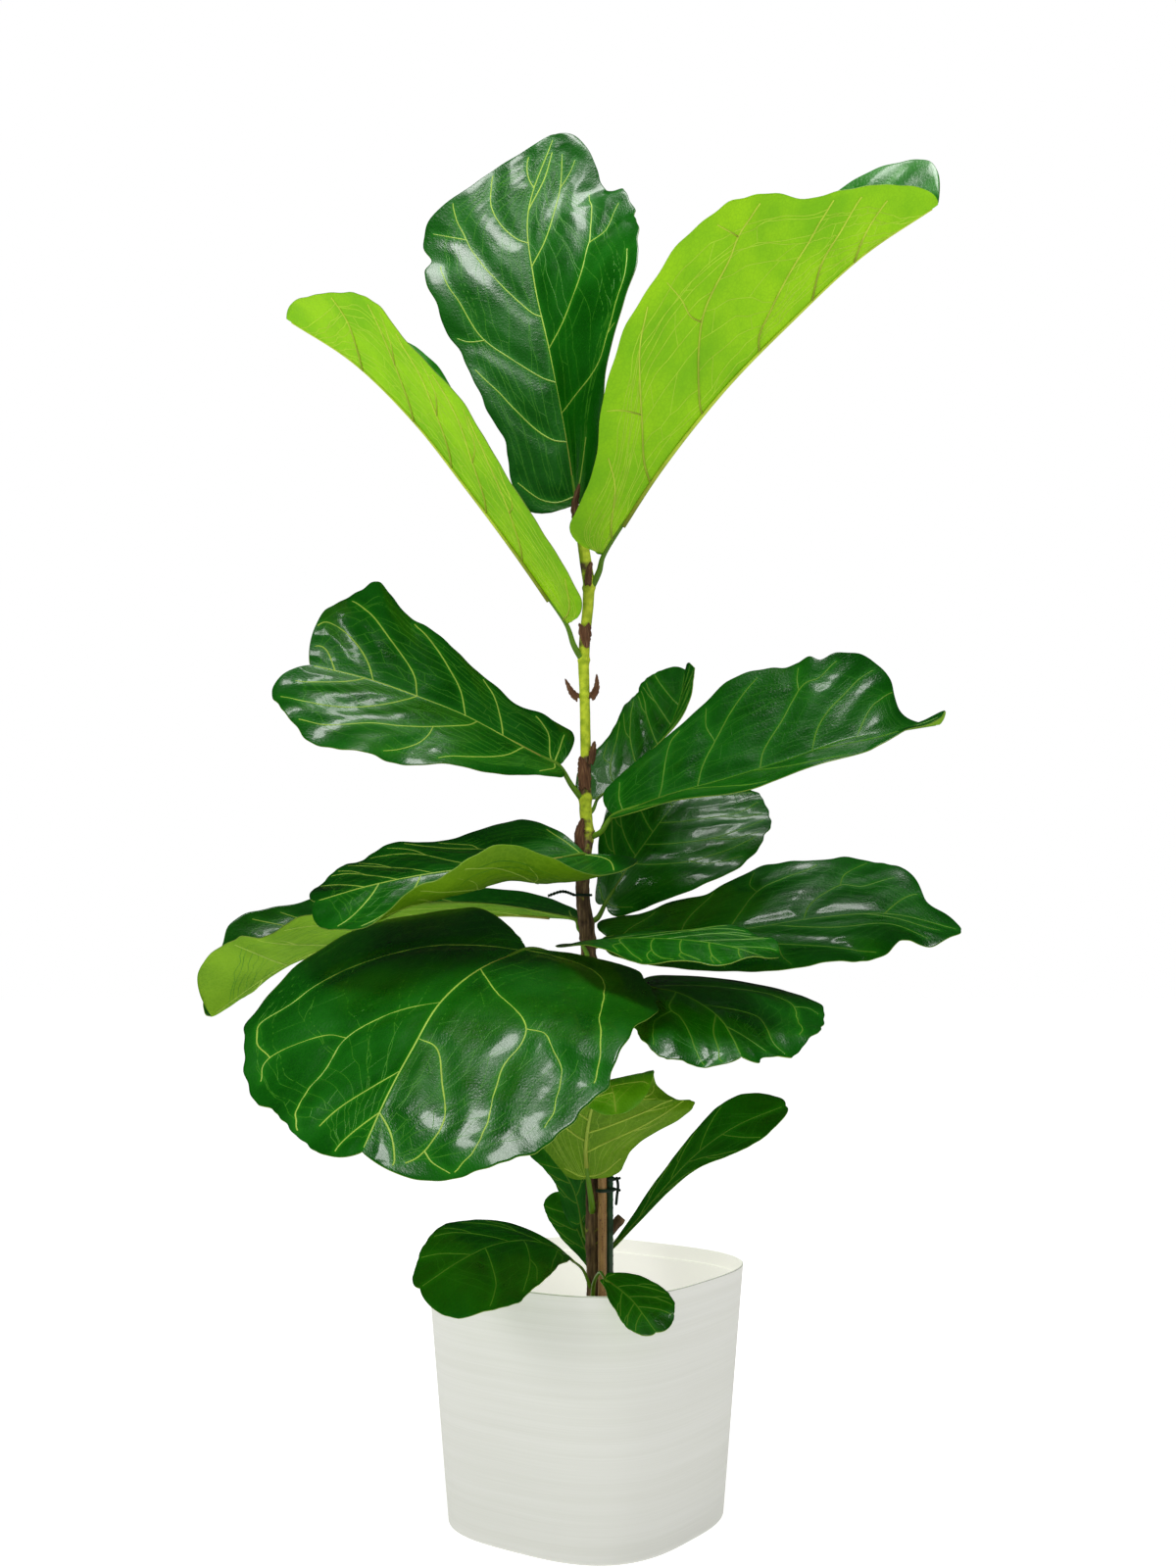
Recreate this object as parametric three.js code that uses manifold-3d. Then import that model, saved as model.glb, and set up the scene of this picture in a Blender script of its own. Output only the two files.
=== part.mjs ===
// A fiddle leaf fig in a white planter, about 1.3 m tall: pot, soil, trunk, supports, dried sheaths
// and nineteen leaves, each a closed solid of its own. Millimetres, +Z up, origin in the middle of the
// pot's base. +X is to the right and -Y to the front.

import * as THREE from 'three';
import { mergeVertices } from 'three/addons/utils/BufferGeometryUtils.js';
import Module from 'manifold-3d';

const wasm = await Module();
wasm.setup();

// ---- Driving dimensions ----

const CLEARANCE = 0.3;            // gap between pieces that touch
const DEGREE = Math.PI / 180;

const POT_HEIGHT = 217;
const POT_RIM_HALF = 125;         // half width across the flats at the rim
const POT_BASE_HALF = 107.5;      // the same at the base
const POT_POWER = 3;              // 2 is a circle, higher is squarer
const POT_TURN = 55 * DEGREE;     // how far the flats are turned about Z
const POT_WALL = 3.5;
const POT_FLOOR = 5;
const POT_EDGE = 4;               // rounding of the bottom edge
const POT_EDGE_STEP = 1.2;        // a point of that rounding, up and in
const POT_LIP = 2.6;              // from the outside of the rim to its inner edge
const POT_LIP_BEVEL = 0.8;
const POT_BAND = 12;              // depth of the thinner band inside the rim
const POT_BAND_STEP = 1;          // height over which the wall gets its full thickness
const POT_SIDES = 40;

const SOIL_LEVEL = 148;           // at the wall
const SOIL_MOUND = 12;            // how much higher it is at the trunk
const SOIL_LUMP = 1.6;
const SOIL_LUMP_TURNS = [2.3, 1.9, 0.7];   // how fast the lumps change from ring to ring and round a ring
const SOIL_RINGS = [1, 0.82, 0.6, 0.38, 0.16];
const SOIL_GAP = CLEARANCE + 0.1; // to the pot, whose wall is made of flats

// The trunk's centre line and radius, from the growing tip down into the soil: x, y, z, radius.
const TRUNK = [
  [-6, 0, 893, 4], [-5, 0, 875, 5], [-1, 0, 847, 5.5], [2, 0, 828, 5.5], [1, 0, 806, 5],
  [-2, 0, 778, 5], [-3, 0, 751, 5], [-2, 0, 724, 4.6], [-1, 0, 670, 4.8], [-2, 0, 644, 5.8],
  [-1, 0, 617, 5.5], [1, 0, 599, 5.8], [-3, 0, 572, 6.2], [-4, 0, 550, 6.2], [-3, 0, 533, 6.5],
  [0, 0, 515, 6.8], [3, 0, 467, 7], [5, 0, 415, 7], [6, 0, 354, 7], [6, 0, 294, 7],
  [6, 0, 242, 7.2], [8, 0, 198, 8], [8, 0, 150, 9], [8, 0, 100, 8], [8, 0, 60, 6],
];
const TRUNK_SIDES = 10;
const TRUNK_STEP = 40;
const SCAR_HEIGHTS = [824, 757, 724, 630, 600, 564, 518, 504, 486, 462, 232];
const SCAR_SWELL = 0.9;           // a leaf scar stands this much proud of the bark
const SCAR_HALF_HEIGHT = 4;
const STUB_SIDES = 8;
const STUB = [[8, 0, 232], [19, 2, 243], [31, 3, 257]];   // a pruned side branch
const STUB_RADIUS = 5;
const STUB_TAPER = 1;

const CANE = { x: 13.5, y: -13, bottom: 40, top: 440, radius: 4, joints: [120, 262, 395] };
const CANE_JOINT_SWELL = 0.5;
const CANE_JOINT_HALF_HEIGHT = 3;
const STAKE = { x: 20.2, y: -7, bottom: 60, top: 335, radius: 3.4, joints: [] };

const CLIP_LEVEL = 283;           // the band round cane and stake
const CLIP_UPPER_LEVEL = 292;     // the band round the stake alone
const CLIP_TAB = { x: 26.2, y: -7, bottom: 268, top: 294, width: 4, depth: 2.4 };
const BAND_HEIGHT = 3;
const BAND_WALL = 1.4;
const BAND_GAP = CLEARANCE + 0.1;

const TWIST_TIE_STEM = { x: -3.5, y: 0, radius: 6.5 };
const TWIST_TIE_LEVEL = 543;
const TWIST_TIE_TAIL = [[-11, -3, 543], [-22, -8, 546], [-35, -11, 542]];
const TWIST_TIE_RADIUS = 1.1;

const BLADE_THICKNESS = 1.2;
const SHEATH_THICKNESS = 0.9;
const MIDRIB_DEPTH = 1.6;         // how far the midrib stands out below a large blade
const SMALL_MIDRIB_DEPTH = 0.6;
const MIDRIB_HALF_SHARE = 0.1;    // columns nearer the middle than this share form the midrib
const STALK_TAPER = 0.45;         // how much thinner a stalk is where it has run into the blade
const STALK_REACH = 0.08;         // how far along the midrib it runs

// Rows of a blade lean towards the tip by these angles, from foot to tip, unless a leaf says otherwise.
const SWEEP = [-58, -18, 12, 22, 28, 30, 30];
const TIP_ROUNDING = 0.22;        // share of the length over which the tip rounds off

// ---- How finely the shapes are divided ----

const BIG_ROWS = [0, 0.06, 0.14, 0.23, 0.32, 0.41, 0.5, 0.59, 0.68, 0.77, 0.85, 0.92, 0.97, 0.995];
const BIG_COLUMNS = [-1, -0.72, -0.38, -0.045, 0.045, 0.38, 0.72, 1];
const SMALL_ROWS = [0, 0.1, 0.25, 0.4, 0.55, 0.7, 0.8, 0.88, 0.95, 0.99];
const SMALL_COLUMNS = [-1, -0.55, -0.06, 0.06, 0.55, 1];
const SHEATH_ROWS = [0, 0.4, 0.75, 0.98];
const SHEATH_COLUMNS = [-1, -0.4, 0.4, 1];
const ROD_SIDES = 10;
const BAND_SIDES = 20;
const STALK_SIDES = 6;
const STALK_SHARES = [0, 1 / 6, 1 / 3, 1 / 2, 2 / 3, 5 / 6, 1];
const STUB_SHARES = [0, 0.25, 0.5, 0.75, 1];

// ---- Leaves ----
//
// Every leaf is given the same way, in evenly spaced steps from its foot to its tip. "rib" is the line of
// the midrib, and "face" the direction its upper side looks. Pairs are left, right, seen from above with
// the tip away. "half" is the length of the row from midrib to edge, "sweep" how far that row leans
// forward, "lift" how far it is folded up and "curl" how much more it turns by the edge, in degrees.
// "wave" is the height of the ripples along the edge, and "stalk" leads from inside the trunk to the foot.

const DARK = 0x1d5a1a;
const LEAVES = [
  {
    name: 'leaf_crown', colour: DARK, stalkRadius: 3,
    stalk: [[-3, 2, 868], [-7, 12, 884]],
    rib: [[-10, 14, 906], [-20, 20, 975], [-35, 32, 1056], [-51, 48, 1134], [-57, 66, 1210], [-32, 85, 1296]],
    face: [[0.1, -1, 0.1], [0, -1, 0.25], [0, -1, 0.35]],
    half: [[48, 14], [68, 44], [74, 90], [90, 118], [105, 112], [58, 74], [22, 58]],
    sweep: [[-22, -30], [-5, 5], [0, 20], [6, 24], [7, 26], [4, 26], [-5, 40]],
    lift: [[5, 30], [5, 50], [5, 20], [5, 0], [0, -10]],
    wave: [0, 2, 4, 3], waves: 4,
  },
  {
    name: 'leaf_top_right', colour: 0x8fc22a, stalkRadius: 3.4,
    stalk: [[4, -1, 824], [11, -4, 838]],
    rib: [[16, -8, 854], [65, -25, 927], [123, -45, 996], [182, -65, 1052], [242, -85, 1103],
      [306, -105, 1141]],
    face: [[-0.7, 0, 0.7]],
    half: [[20, 42], [60, 54], [95, 108], [115, 131], [94, 92], [96, 56], [104, 34]],
    sweep: [[-40, -24], [-5, -5], [12, 12], [22, 22], [26, 26], [30, 26], [35, 26]],
    lift: [[45, 70], [50, 62], [50, 58], [55, 50]],
    wave: [0, 3, 5, 6], waves: 3,
  },
  {
    name: 'leaf_top_left', colour: 0x7fb52a, stalkRadius: 3.2,
    stalk: [[-4, -1, 757], [-12, -6, 770]],
    rib: [[-19, -10, 789], [-63, -20, 851], [-109, -30, 911], [-155, -38, 968], [-209, -45, 1020],
      [-270, -50, 1059]],
    face: [[0.74, 0, 0.67]],
    half: [[38, 14], [56, 45], [73, 66], [92, 88], [102, 98], [74, 66], [58, 40]],
    sweep: [[-15, -30], [-3, -18], [12, 12], [22, 22], [28, 28], [20, 30], [10, 30]],
    lift: [[28, 40], [22, 38], [22, 38], [25, 30]],
    wave: [0, 3, 4, 6], waves: 3,
  },
  {
    name: 'leaf_middle_left', colour: DARK, stalkRadius: 3,
    stalk: [[-3, -1, 628], [-14, -7, 642]],
    rib: [[-25, -12, 659], [-67, -25, 680], [-108, -38, 701], [-150, -48, 717], [-195, -55, 732],
      [-243, -60, 743]],
    face: [[0.2, -0.75, 0.6]],
    half: [[16, 26], [36, 44], [73, 47], [98, 72], [104, 100], [84, 92], [66, 66]],
    sweep: [[-58, -25], [-18, -24], [12, 12], [22, 22], [28, 24], [40, 18], [60, 22]],
    lift: [[10, 10], [5, 15], [0, 15], [-5, 10]],
    wave: [2, 4, 6, 8], waves: 4,
  },
  {
    name: 'leaf_middle_right', colour: DARK, stalkRadius: 3,
    stalk: [[5, -1, 596], [13, -9, 600]],
    rib: [[24, -14, 614], [72, -28, 631], [125, -40, 645], [178, -48, 661], [228, -50, 678], [272, -46, 686],
      [316, -24, 695]],
    face: [[0, -0.3, 0.95], [0, -0.3, 0.95], [0, -0.3, 0.95], [0, -0.2, 0.95], [-0.2, 0.5, 0.8]],
    half: [[28, 14], [54, 46], [95, 72], [100, 84], [92, 66], [40, 44], [14, 30]],
    sweep: [[-35, -35], [-10, -10], [12, 12], [22, 22], [28, 28], [30, 30], [30, 30]],
    lift: [[45, 5], [45, 2], [45, 5], [40, 8]],
    wave: [2, 3, 4, 5], waves: 4,
  },
  {
    name: 'leaf_middle_back', colour: DARK, stalkRadius: 2.4,
    stalk: [[1, 2, 616], [6, 14, 622]],
    rib: [[10, 22, 632], [33, 34, 651], [56, 46, 673], [78, 56, 702], [89, 64, 731], [94, 70, 759]],
    face: [[-0.5, -0.8, 0.3]],
    half: [[18, 10], [40, 22], [47, 38], [58, 51], [52, 50], [38, 36], [28, 24]],
    lift: [[10, 50], [10, 50], [10, 50]],
    wave: [1, 2, 3], waves: 3,
  },
  {
    name: 'leaf_low_right_back', colour: DARK, stalkRadius: 3,
    stalk: [[1, 2, 518], [10, 9, 523]],
    rib: [[17, 14, 536], [37, 36, 568], [56, 60, 595], [78, 84, 625], [102, 105, 653], [131, 122, 675]],
    face: [[0, -0.8, 0.6]],
    half: [[12, 18], [24, 48], [46, 92], [62, 104], [64, 84], [50, 48], [40, 36]],
    lift: [[5, 5], [5, 5], [5, 5]],
    wave: [1, 2, 3], waves: 4,
  },
  {
    name: 'leaf_curled_left', colour: DARK, stalkRadius: 3,
    stalk: [[-3, -2, 564], [-2, -11, 570]],
    rib: [[-2, -16, 579], [-51, -45, 571], [-96, -68, 565], [-141, -85, 558], [-186, -95, 548],
      [-229, -100, 535]],
    face: [[0, -0.75, 0.65], [0, -0.35, 0.9], [0, -0.35, 0.9], [0, -0.35, 0.9], [0, -0.35, 0.9]],
    half: [[54, 8], [72, 70], [92, 74], [104, 88], [84, 76], [58, 58], [42, 40]],
    sweep: [[-72, -10], [-18, -15], [12, 12], [22, 22], [28, 28], [30, 30], [30, 30]],
    lift: [[18, 12], [-30, 8], [-34, 5], [-34, 0], [-28, -2], [-20, -3], [-14, -3]],
    curl: [[0, 0], [80, 0], [124, 0], [100, 0], [50, 0], [10, 0], [0, 0]],
    wave: [2, 3, 3, 5], waves: 4,
  },
  {
    name: 'leaf_far_left', colour: DARK, stalkRadius: 3,
    stalk: [[-1, 2, 507], [-7, 10, 513]],
    rib: [[-12, 14, 522], [-81, 45, 526], [-155, 60, 518], [-224, 60, 502], [-285, 45, 476], [-341, 20, 434]],
    face: [[0, 0, 1]],
    half: [[7, 14], [34, 56], [60, 84], [84, 108], [92, 114], [84, 80], [82, 38]],
    sweep: [[-58, -58], [-18, -18], [12, 12], [22, 22], [28, 28], [14, 30], [4, 30]],
    lift: [[10, 0], [10, 0], [9, 0], [10, -5], [17, -14], [30, -38], [76, -60]],
    curl: [[10, 20], [10, 50], [15, 100], [10, 150]],
    wave: [2, 3, 5, 7], waves: 4,
  },
  {
    name: 'leaf_far_right', colour: DARK, stalkRadius: 3,
    stalk: [[5, 1, 496], [12, 3, 499]],
    rib: [[20, 5, 505], [85, 20, 506], [149, 30, 513], [216, 35, 523], [280, 30, 526], [341, 20, 511]],
    face: [[0, -0.4, 0.9]],
    half: [[28, 26], [42, 50], [72, 64], [86, 78], [92, 62], [62, 36], [18, 20]],
    sweep: [[-40, -40], [-24, -18], [4, 10], [14, 20], [18, 24], [6, 24], [20, 24]],
    lift: [[10, -10], [15, -10], [15, -10], [10, -10]],
    wave: [2, 3, 5, 8], waves: 4,
  },
  {
    name: 'leaf_front_broad', colour: DARK, stalkRadius: 3.6,
    stalk: [[2, -2, 462], [-16, -26, 480], [-36, -46, 492]],
    rib: [[-52, -60, 495], [-88, -125, 479], [-115, -190, 454], [-132, -245, 420], [-145, -290, 390],
      [-158, -325, 355]],
    face: [[-0.1, -0.4, 0.9], [-0.1, -0.5, 0.86]],
    half: [[92, 80], [142, 145], [164, 162], [158, 142], [132, 98], [92, 64], [68, 44]],
    sweep: [[-50, -40], [-18, -18], [12, 12], [22, 22], [28, 28], [30, 30], [30, 30]],
    lift: [[-16, 20], [-10, 4], [-4, -4], [-7, -8], [-10, -10], [-10, -10], [-10, -10]],
    wave: [1, 2, 3, 4], waves: 4,
  },
  {
    name: 'leaf_front_level', colour: DARK, stalkRadius: 2.6,
    stalk: [[1, -2, 486], [-1, -13, 493]],
    rib: [[-4, -22, 500], [26, -68, 504], [58, -108, 504], [89, -140, 502], [118, -165, 497],
      [142, -185, 489]],
    face: [[0, -0.1, 1]],
    half: [[14, 30], [50, 40], [60, 56], [66, 64], [52, 52], [36, 36], [24, 24]],
    lift: [[5, 0], [5, -6], [5, -14], [0, 10]],
    wave: [2, 3, 4, 5], waves: 3,
  },
  {
    name: 'leaf_lower_right', colour: DARK, stalkRadius: 2.8,
    stalk: [[5, -2, 444], [22, -24, 456], [38, -46, 462]],
    rib: [[48, -60, 463], [75, -100, 459], [93, -135, 451], [107, -165, 440], [115, -188, 426],
      [120, -205, 413]],
    face: [[0.1, -0.4, 0.9]],
    half: [[66, 26], [106, 46], [112, 66], [90, 78], [60, 62], [38, 38], [26, 26]],
    lift: [[-5, -4], [-8, -8], [-15, -15]],
    wave: [1, 2, 4, 6], waves: 4,
  },
  {
    name: 'leaf_pale', colour: 0x8a9a2e, stalkRadius: 3.4,
    stalk: [[5, -3, 262], [4, -17, 274]],
    rib: [[1, -22, 295], [-1, -26, 318], [1, -30, 340], [6, -36, 362], [15, -48, 381], [22, -64, 374],
      [25, -70, 355]],
    face: [[0.1, 0.9, 0.4], [0, 0.9, 0.3], [0, 0.9, 0.3], [0, 0.8, 0.6], [0, 0.1, 1], [0, -0.7, 0.7],
      [0, -0.9, 0.3]],
    half: [[24, 12], [46, 32], [93, 58], [76, 66], [50, 50], [36, 36], [24, 24]],
    sweep: [[-10, -20], [8, -5], [18, 12], [14, 16], [0, 0], [0, 0], [10, 10]],
    lift: [[0, 0], [5, 5], [5, 5]],
    wave: [1, 2, 3], waves: 3,
  },
  {
    name: 'leaf_base_back', colour: DARK, stalkRadius: 2,
    stalk: [[4, 2, 232], [-2, 7, 240]],
    rib: [[-5, 8, 252], [-8, 9, 268], [-13, 10, 283], [-22, 12, 297], [-34, 16, 311], [-50, 22, 326]],
    face: [[-0.3, -1, 0.2]],
    half: [[10, 3], [14, 8], [14, 16], [13, 22], [14, 24], [16, 22], [12, 14]],
    lift: [[5, 5]],
    wave: [0, 1, 2], waves: 2, small: true,
  },
  {
    name: 'leaf_base_dark', colour: DARK, stalkRadius: 2,
    stalk: [[6, 4, 196], [5, 10, 203]],
    rib: [[3, 14, 212], [-2, 18, 228], [-8, 22, 242], [-14, 26, 255], [-20, 30, 266], [-26, 34, 275]],
    face: [[0, -1, 0.2]],
    half: [[3, 3], [8, 8], [16, 14], [21, 18], [22, 19], [18, 16], [13, 12]],
    lift: [[0, 0]],
    wave: [0, 1], waves: 2, small: true,
  },
  {
    name: 'leaf_base_right', colour: DARK, stalkRadius: 2,
    stalk: [[8, 2, 200], [17, 3, 207]],
    rib: [[20, 6, 227], [45, 8, 254], [71, 9, 284], [100, 10, 313], [135, 8, 337], [178, 5, 355]],
    face: [[-0.5, -0.6, 0.6]],
    half: [[3, 3], [6, 3], [11, 6], [16, 12], [28, 30], [30, 26], [20, 20]],
    lift: [[10, 0], [10, -5], [10, -5]],
    wave: [0, 1, 3], waves: 3, small: true,
  },
  {
    name: 'leaf_base_left', colour: DARK, stalkRadius: 2,
    stalk: [[5, -1, 192], [1, -8, 204]],
    rib: [[-4, -12, 215], [-26, -45, 238], [-51, -80, 251], [-78, -115, 253], [-104, -145, 245],
      [-132, -165, 229]],
    face: [[0, -0.5, 0.85]],
    half: [[4, 5], [12, 14], [40, 30], [66, 46], [76, 44], [56, 30], [36, 20]],
    lift: [[5, 5], [0, 0], [-5, -5]],
    wave: [0, 1, 2, 2], waves: 3, small: true,
  },
  {
    name: 'leaf_base_front', colour: DARK, stalkRadius: 2,
    stalk: [[5, -4, 184], [6, -40, 208], [11, -85, 226]],
    rib: [[15, -125, 228], [26, -138, 223], [37, -152, 216], [45, -165, 208], [54, -178, 198]],
    face: [[0, -0.5, 0.85]],
    half: [[8, 6], [18, 8], [28, 16], [31, 20], [27, 20], [20, 16], [14, 12]],
    lift: [[0, 0]],
    wave: [0, 1, 1], waves: 2, small: true,
  },
];

// ---- Dried sheaths at the leaf scars: given as leaves are, with no stalk ----

const SHEATHS = [
  { name: 'sheath_bud', rib: [[-8, -6, 880], [-11, -7, 898], [-7, -9, 919]], face: [[0.1, -1, 0.1]],
    half: [[4, 4], [4, 4], [2, 2]], lift: [[-30, -30]] },
  { name: 'sheath_top_right', rib: [[1, -8, 826], [2, -9, 836], [4, -10, 846]], face: [[0, -1, 0.1]],
    half: [[4, 4], [4, 3], [2, 2]], lift: [[-30, -30]] },
  { name: 'sheath_top_left', rib: [[-2, -7.5, 786], [-1, -7.5, 776], [0, -7, 767]], face: [[0, -1, 0]],
    half: [[8, 8], [5, 5], [1.5, 1.5]], lift: [[-32, -32]] },
  { name: 'sheath_horn_left', rib: [[-8.5, -1, 722], [-14, -1, 728], [-20, 0, 740]],
    face: [[-0.3, -0.9, 0.3]], half: [[4, 4], [3, 3], [1, 1]], lift: [[15, 15]] },
  { name: 'sheath_horn_right', rib: [[4, -2, 722], [8.5, -2, 731], [9, -2, 744]], face: [[0.3, -0.9, 0.1]],
    half: [[4, 4], [3, 3], [1, 1]], lift: [[15, 15]] },
  { name: 'sheath_node', rib: [[-2, -8, 640], [-3, -8.5, 654], [-6, -8.5, 668]], face: [[0, -1, 0.1]],
    half: [[6, 6], [6, 7], [2, 2]], lift: [[-32, -32]] },
  { name: 'sheath_chip', rib: [[4, -4, 662], [5.5, -5, 671], [7, -6, 682]], face: [[0.6, -0.8, 0]],
    half: [[3, 3], [4, 4], [1.5, 1.5]], lift: [[-10, -10]] },
  { name: 'sheath_low', rib: [[-7.5, -6.5, 584], [-8, -7, 598], [-4, -8.5, 612]], face: [[-0.5, -0.85, 0]],
    half: [[5, 5], [6, 6], [2, 2]], lift: [[-30, -30]] },
];

// ---- Geometry helpers ----

// A value at share u of a list of evenly spaced entries, on a smooth curve through all of them.
function along(list, u) {
  const last = list.length - 1;
  if (last === 0) return [...list[0]];
  const place = Math.min(Math.max(u, 0), 1) * last;
  const i = Math.min(Math.floor(place), last - 1);
  const t = place - i;
  const entry = (k, c) => {
    if (k < 0) return 2 * list[0][c] - list[1][c];
    if (k > last) return 2 * list[last][c] - list[last - 1][c];
    return list[k][c];
  };
  return list[0].map((_, c) => {
    const [a, b, d, e] = [entry(i - 1, c), entry(i, c), entry(i + 1, c), entry(i + 2, c)];
    const bend = (2 * a - 5 * b + 4 * d - e) * t ** 2 + (3 * b - a - 3 * d + e) * t ** 3;
    return 0.5 * (2 * b + (d - a) * t + bend);
  });
}

const vector = (list, u) => new THREE.Vector3(...along(list, u));

function direction(list, u) {
  const step = 0.001;
  return vector(list, Math.min(u + step, 1)).sub(vector(list, Math.max(u - step, 0))).normalize();
}

function geometryOf(points, triangles) {
  const geometry = new THREE.BufferGeometry();
  const coordinates = points.flatMap((p) => [p.x, p.y, p.z]);
  geometry.setAttribute('position', new THREE.Float32BufferAttribute(coordinates, 3));
  geometry.setIndex(triangles.flat());
  return geometry;
}

function solidOf(geometry) {
  const bare = geometry.clone();
  bare.deleteAttribute('normal');
  bare.deleteAttribute('uv');
  const merged = mergeVertices(bare, 1e-4);
  return new wasm.Manifold(new wasm.Mesh({
    numProp: 3,
    vertProperties: new Float32Array(merged.attributes.position.array),
    triVerts: new Uint32Array(merged.index.array),
  }));
}

function geometryFrom(solid) {
  const mesh = solid.getMesh();
  const geometry = new THREE.BufferGeometry();
  geometry.setAttribute('position', new THREE.BufferAttribute(new Float32Array(mesh.vertProperties), 3));
  geometry.setIndex(new THREE.BufferAttribute(new Uint32Array(mesh.triVerts), 1));
  return geometry;
}

// The biggest body of a solid that a cut may have left with loose scraps.
function mainBody(solid) {
  return solid.decompose().reduce((a, b) => (a.volume() > b.volume() ? a : b));
}

// A closed solid from rings of points that all have the same count. Its two ends are closed by a fan, or
// "looped" joins the last ring to the first.
function skinned(rings, looped = false) {
  const count = rings[0].length;
  const points = rings.flat();
  const triangles = [];
  for (let i = 0; i < rings.length - (looped ? 0 : 1); i++) {
    const here = i * count;
    const next = ((i + 1) % rings.length) * count;
    for (let j = 0; j < count; j++) {
      const k = (j + 1) % count;
      triangles.push([here + j, here + k, next + k], [here + j, next + k, next + j]);
    }
  }
  if (looped) return geometryOf(points, triangles);
  const middle = (ring) => ring.reduce((sum, p) => sum.add(p), new THREE.Vector3()).divideScalar(count);
  const first = points.push(middle(rings[0])) - 1;
  const last = points.push(middle(rings[rings.length - 1])) - 1;
  const top = (rings.length - 1) * count;
  for (let j = 0; j < count; j++) {
    const next = (j + 1) % count;
    triangles.push([first, next, j], [last, top + j, top + next]);
  }
  return geometryOf(points, triangles);
}

// A round bar along a line of points, with a radius for each share of its length.
function bar(path, radiusAt, sides, shares) {
  const rings = shares.map((u) => {
    const centre = vector(path, u);
    const ahead = direction(path, u);
    const aside = new THREE.Vector3(0, 1, 0);
    if (Math.abs(ahead.y) > 0.9) aside.set(1, 0, 0);
    const x = new THREE.Vector3().crossVectors(aside, ahead).normalize();
    const y = new THREE.Vector3().crossVectors(ahead, x);
    return Array.from({ length: sides }, (_, k) => {
      const angle = (k / sides) * 2 * Math.PI;
      return centre.clone()
        .addScaledVector(x, radiusAt(u) * Math.cos(angle))
        .addScaledVector(y, radiusAt(u) * Math.sin(angle));
    });
  });
  return skinned(rings);
}

// Evenly spaced values, both ends included.
const even = (count, from = 0, to = 1) => (
  Array.from({ length: count + 1 }, (_, i) => from + ((to - from) * i) / count)
);

// ---- Blades ----

const asPair = (list) => list.map((entry) => (Array.isArray(entry) ? entry : [entry, entry]));

// The point of a blade at share u of its length and v across it, -1 at the left edge and 1 at the right.
function bladePoint(leaf, u, v) {
  const rib = vector(leaf.rib, u);
  const ahead = direction(leaf.rib, u);
  const face = vector(leaf.face, u);
  const up = face.addScaledVector(ahead, -face.dot(ahead)).normalize();
  const right = new THREE.Vector3().crossVectors(ahead, up);
  const side = v < 0 ? 0 : 1;
  const out = Math.abs(v);
  const pastTip = Math.max(0, (u - (1 - TIP_ROUNDING)) / TIP_ROUNDING);
  const row = Math.max(0, along(asPair(leaf.half), u)[side]) * Math.sqrt(Math.max(0, 1 - pastTip ** 2));
  const sweep = along(asPair(leaf.sweep ?? SWEEP), u)[side] * DEGREE;
  const lift = along(asPair(leaf.lift), u)[side] * DEGREE;
  const curl = (along(asPair(leaf.curl ?? [0]), u)[side] || 0.01) * DEGREE;
  const reach = row * Math.cos(sweep);
  const across = (reach * (Math.sin(lift + curl * out) - Math.sin(lift))) / curl;
  const height = (reach * (Math.cos(lift) - Math.cos(lift + curl * out))) / curl;
  const widest = Math.max(...leaf.half.flat());
  const phase = side === 0 ? 0 : 0.4;
  const wave = leaf.wave ? along(asPair(leaf.wave), u)[0] : 0;
  const ripple = wave * (row / widest) * out ** 2 * Math.sin(2 * Math.PI * ((leaf.waves ?? 0) * u + phase));
  return rib
    .addScaledVector(right, (side === 0 ? -1 : 1) * across)
    .addScaledVector(up, height + ripple)
    .addScaledVector(ahead, row * Math.sin(sweep) * out);
}

// A thin closed blade: the surface is set off to both sides, and both faces are split alike.
function bladeGeometry(leaf, lengthShares, widthShares, thickness, ribDepth) {
  const rows = lengthShares.length;
  const columns = widthShares.length;
  const surface = lengthShares.map((u) => widthShares.map((v) => bladePoint(leaf, u, v)));
  const upper = [];
  const lower = [];
  for (let i = 0; i < rows; i++) {
    for (let j = 0; j < columns; j++) {
      const lengthwise = surface[Math.min(i + 1, rows - 1)][j].clone().sub(surface[Math.max(i - 1, 0)][j]);
      const crosswise = surface[i][Math.min(j + 1, columns - 1)].clone().sub(surface[i][Math.max(j - 1, 0)]);
      const normal = crosswise.cross(lengthwise).normalize();
      const ridge = Math.abs(widthShares[j]) < MIDRIB_HALF_SHARE ? ribDepth * (1 - lengthShares[i]) : 0;
      upper.push(surface[i][j].clone().addScaledVector(normal, thickness / 2));
      lower.push(surface[i][j].clone().addScaledVector(normal, -thickness / 2 - ridge));
    }
  }
  const below = rows * columns;
  const triangles = [];
  for (let i = 0; i < rows - 1; i++) {
    for (let j = 0; j < columns - 1; j++) {
      const a = i * columns + j;
      const [b, c, d] = [a + 1, a + columns + 1, a + columns];
      triangles.push([a, b, c], [a, c, d]);
      triangles.push([below + a, below + c, below + b], [below + a, below + d, below + c]);
    }
  }
  const edge = [];
  for (let j = 0; j < columns; j++) edge.push(j);
  for (let i = 1; i < rows; i++) edge.push(i * columns + columns - 1);
  for (let j = columns - 2; j >= 0; j--) edge.push((rows - 1) * columns + j);
  for (let i = rows - 2; i > 0; i--) edge.push(i * columns);
  edge.forEach((a, k) => {
    const b = edge[(k + 1) % edge.length];
    triangles.push([b, a, below + a], [b, below + a, below + b]);
  });
  return geometryOf([...upper, ...lower], triangles);
}

// ---- Pieces ----

const part = new THREE.Group();

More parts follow.
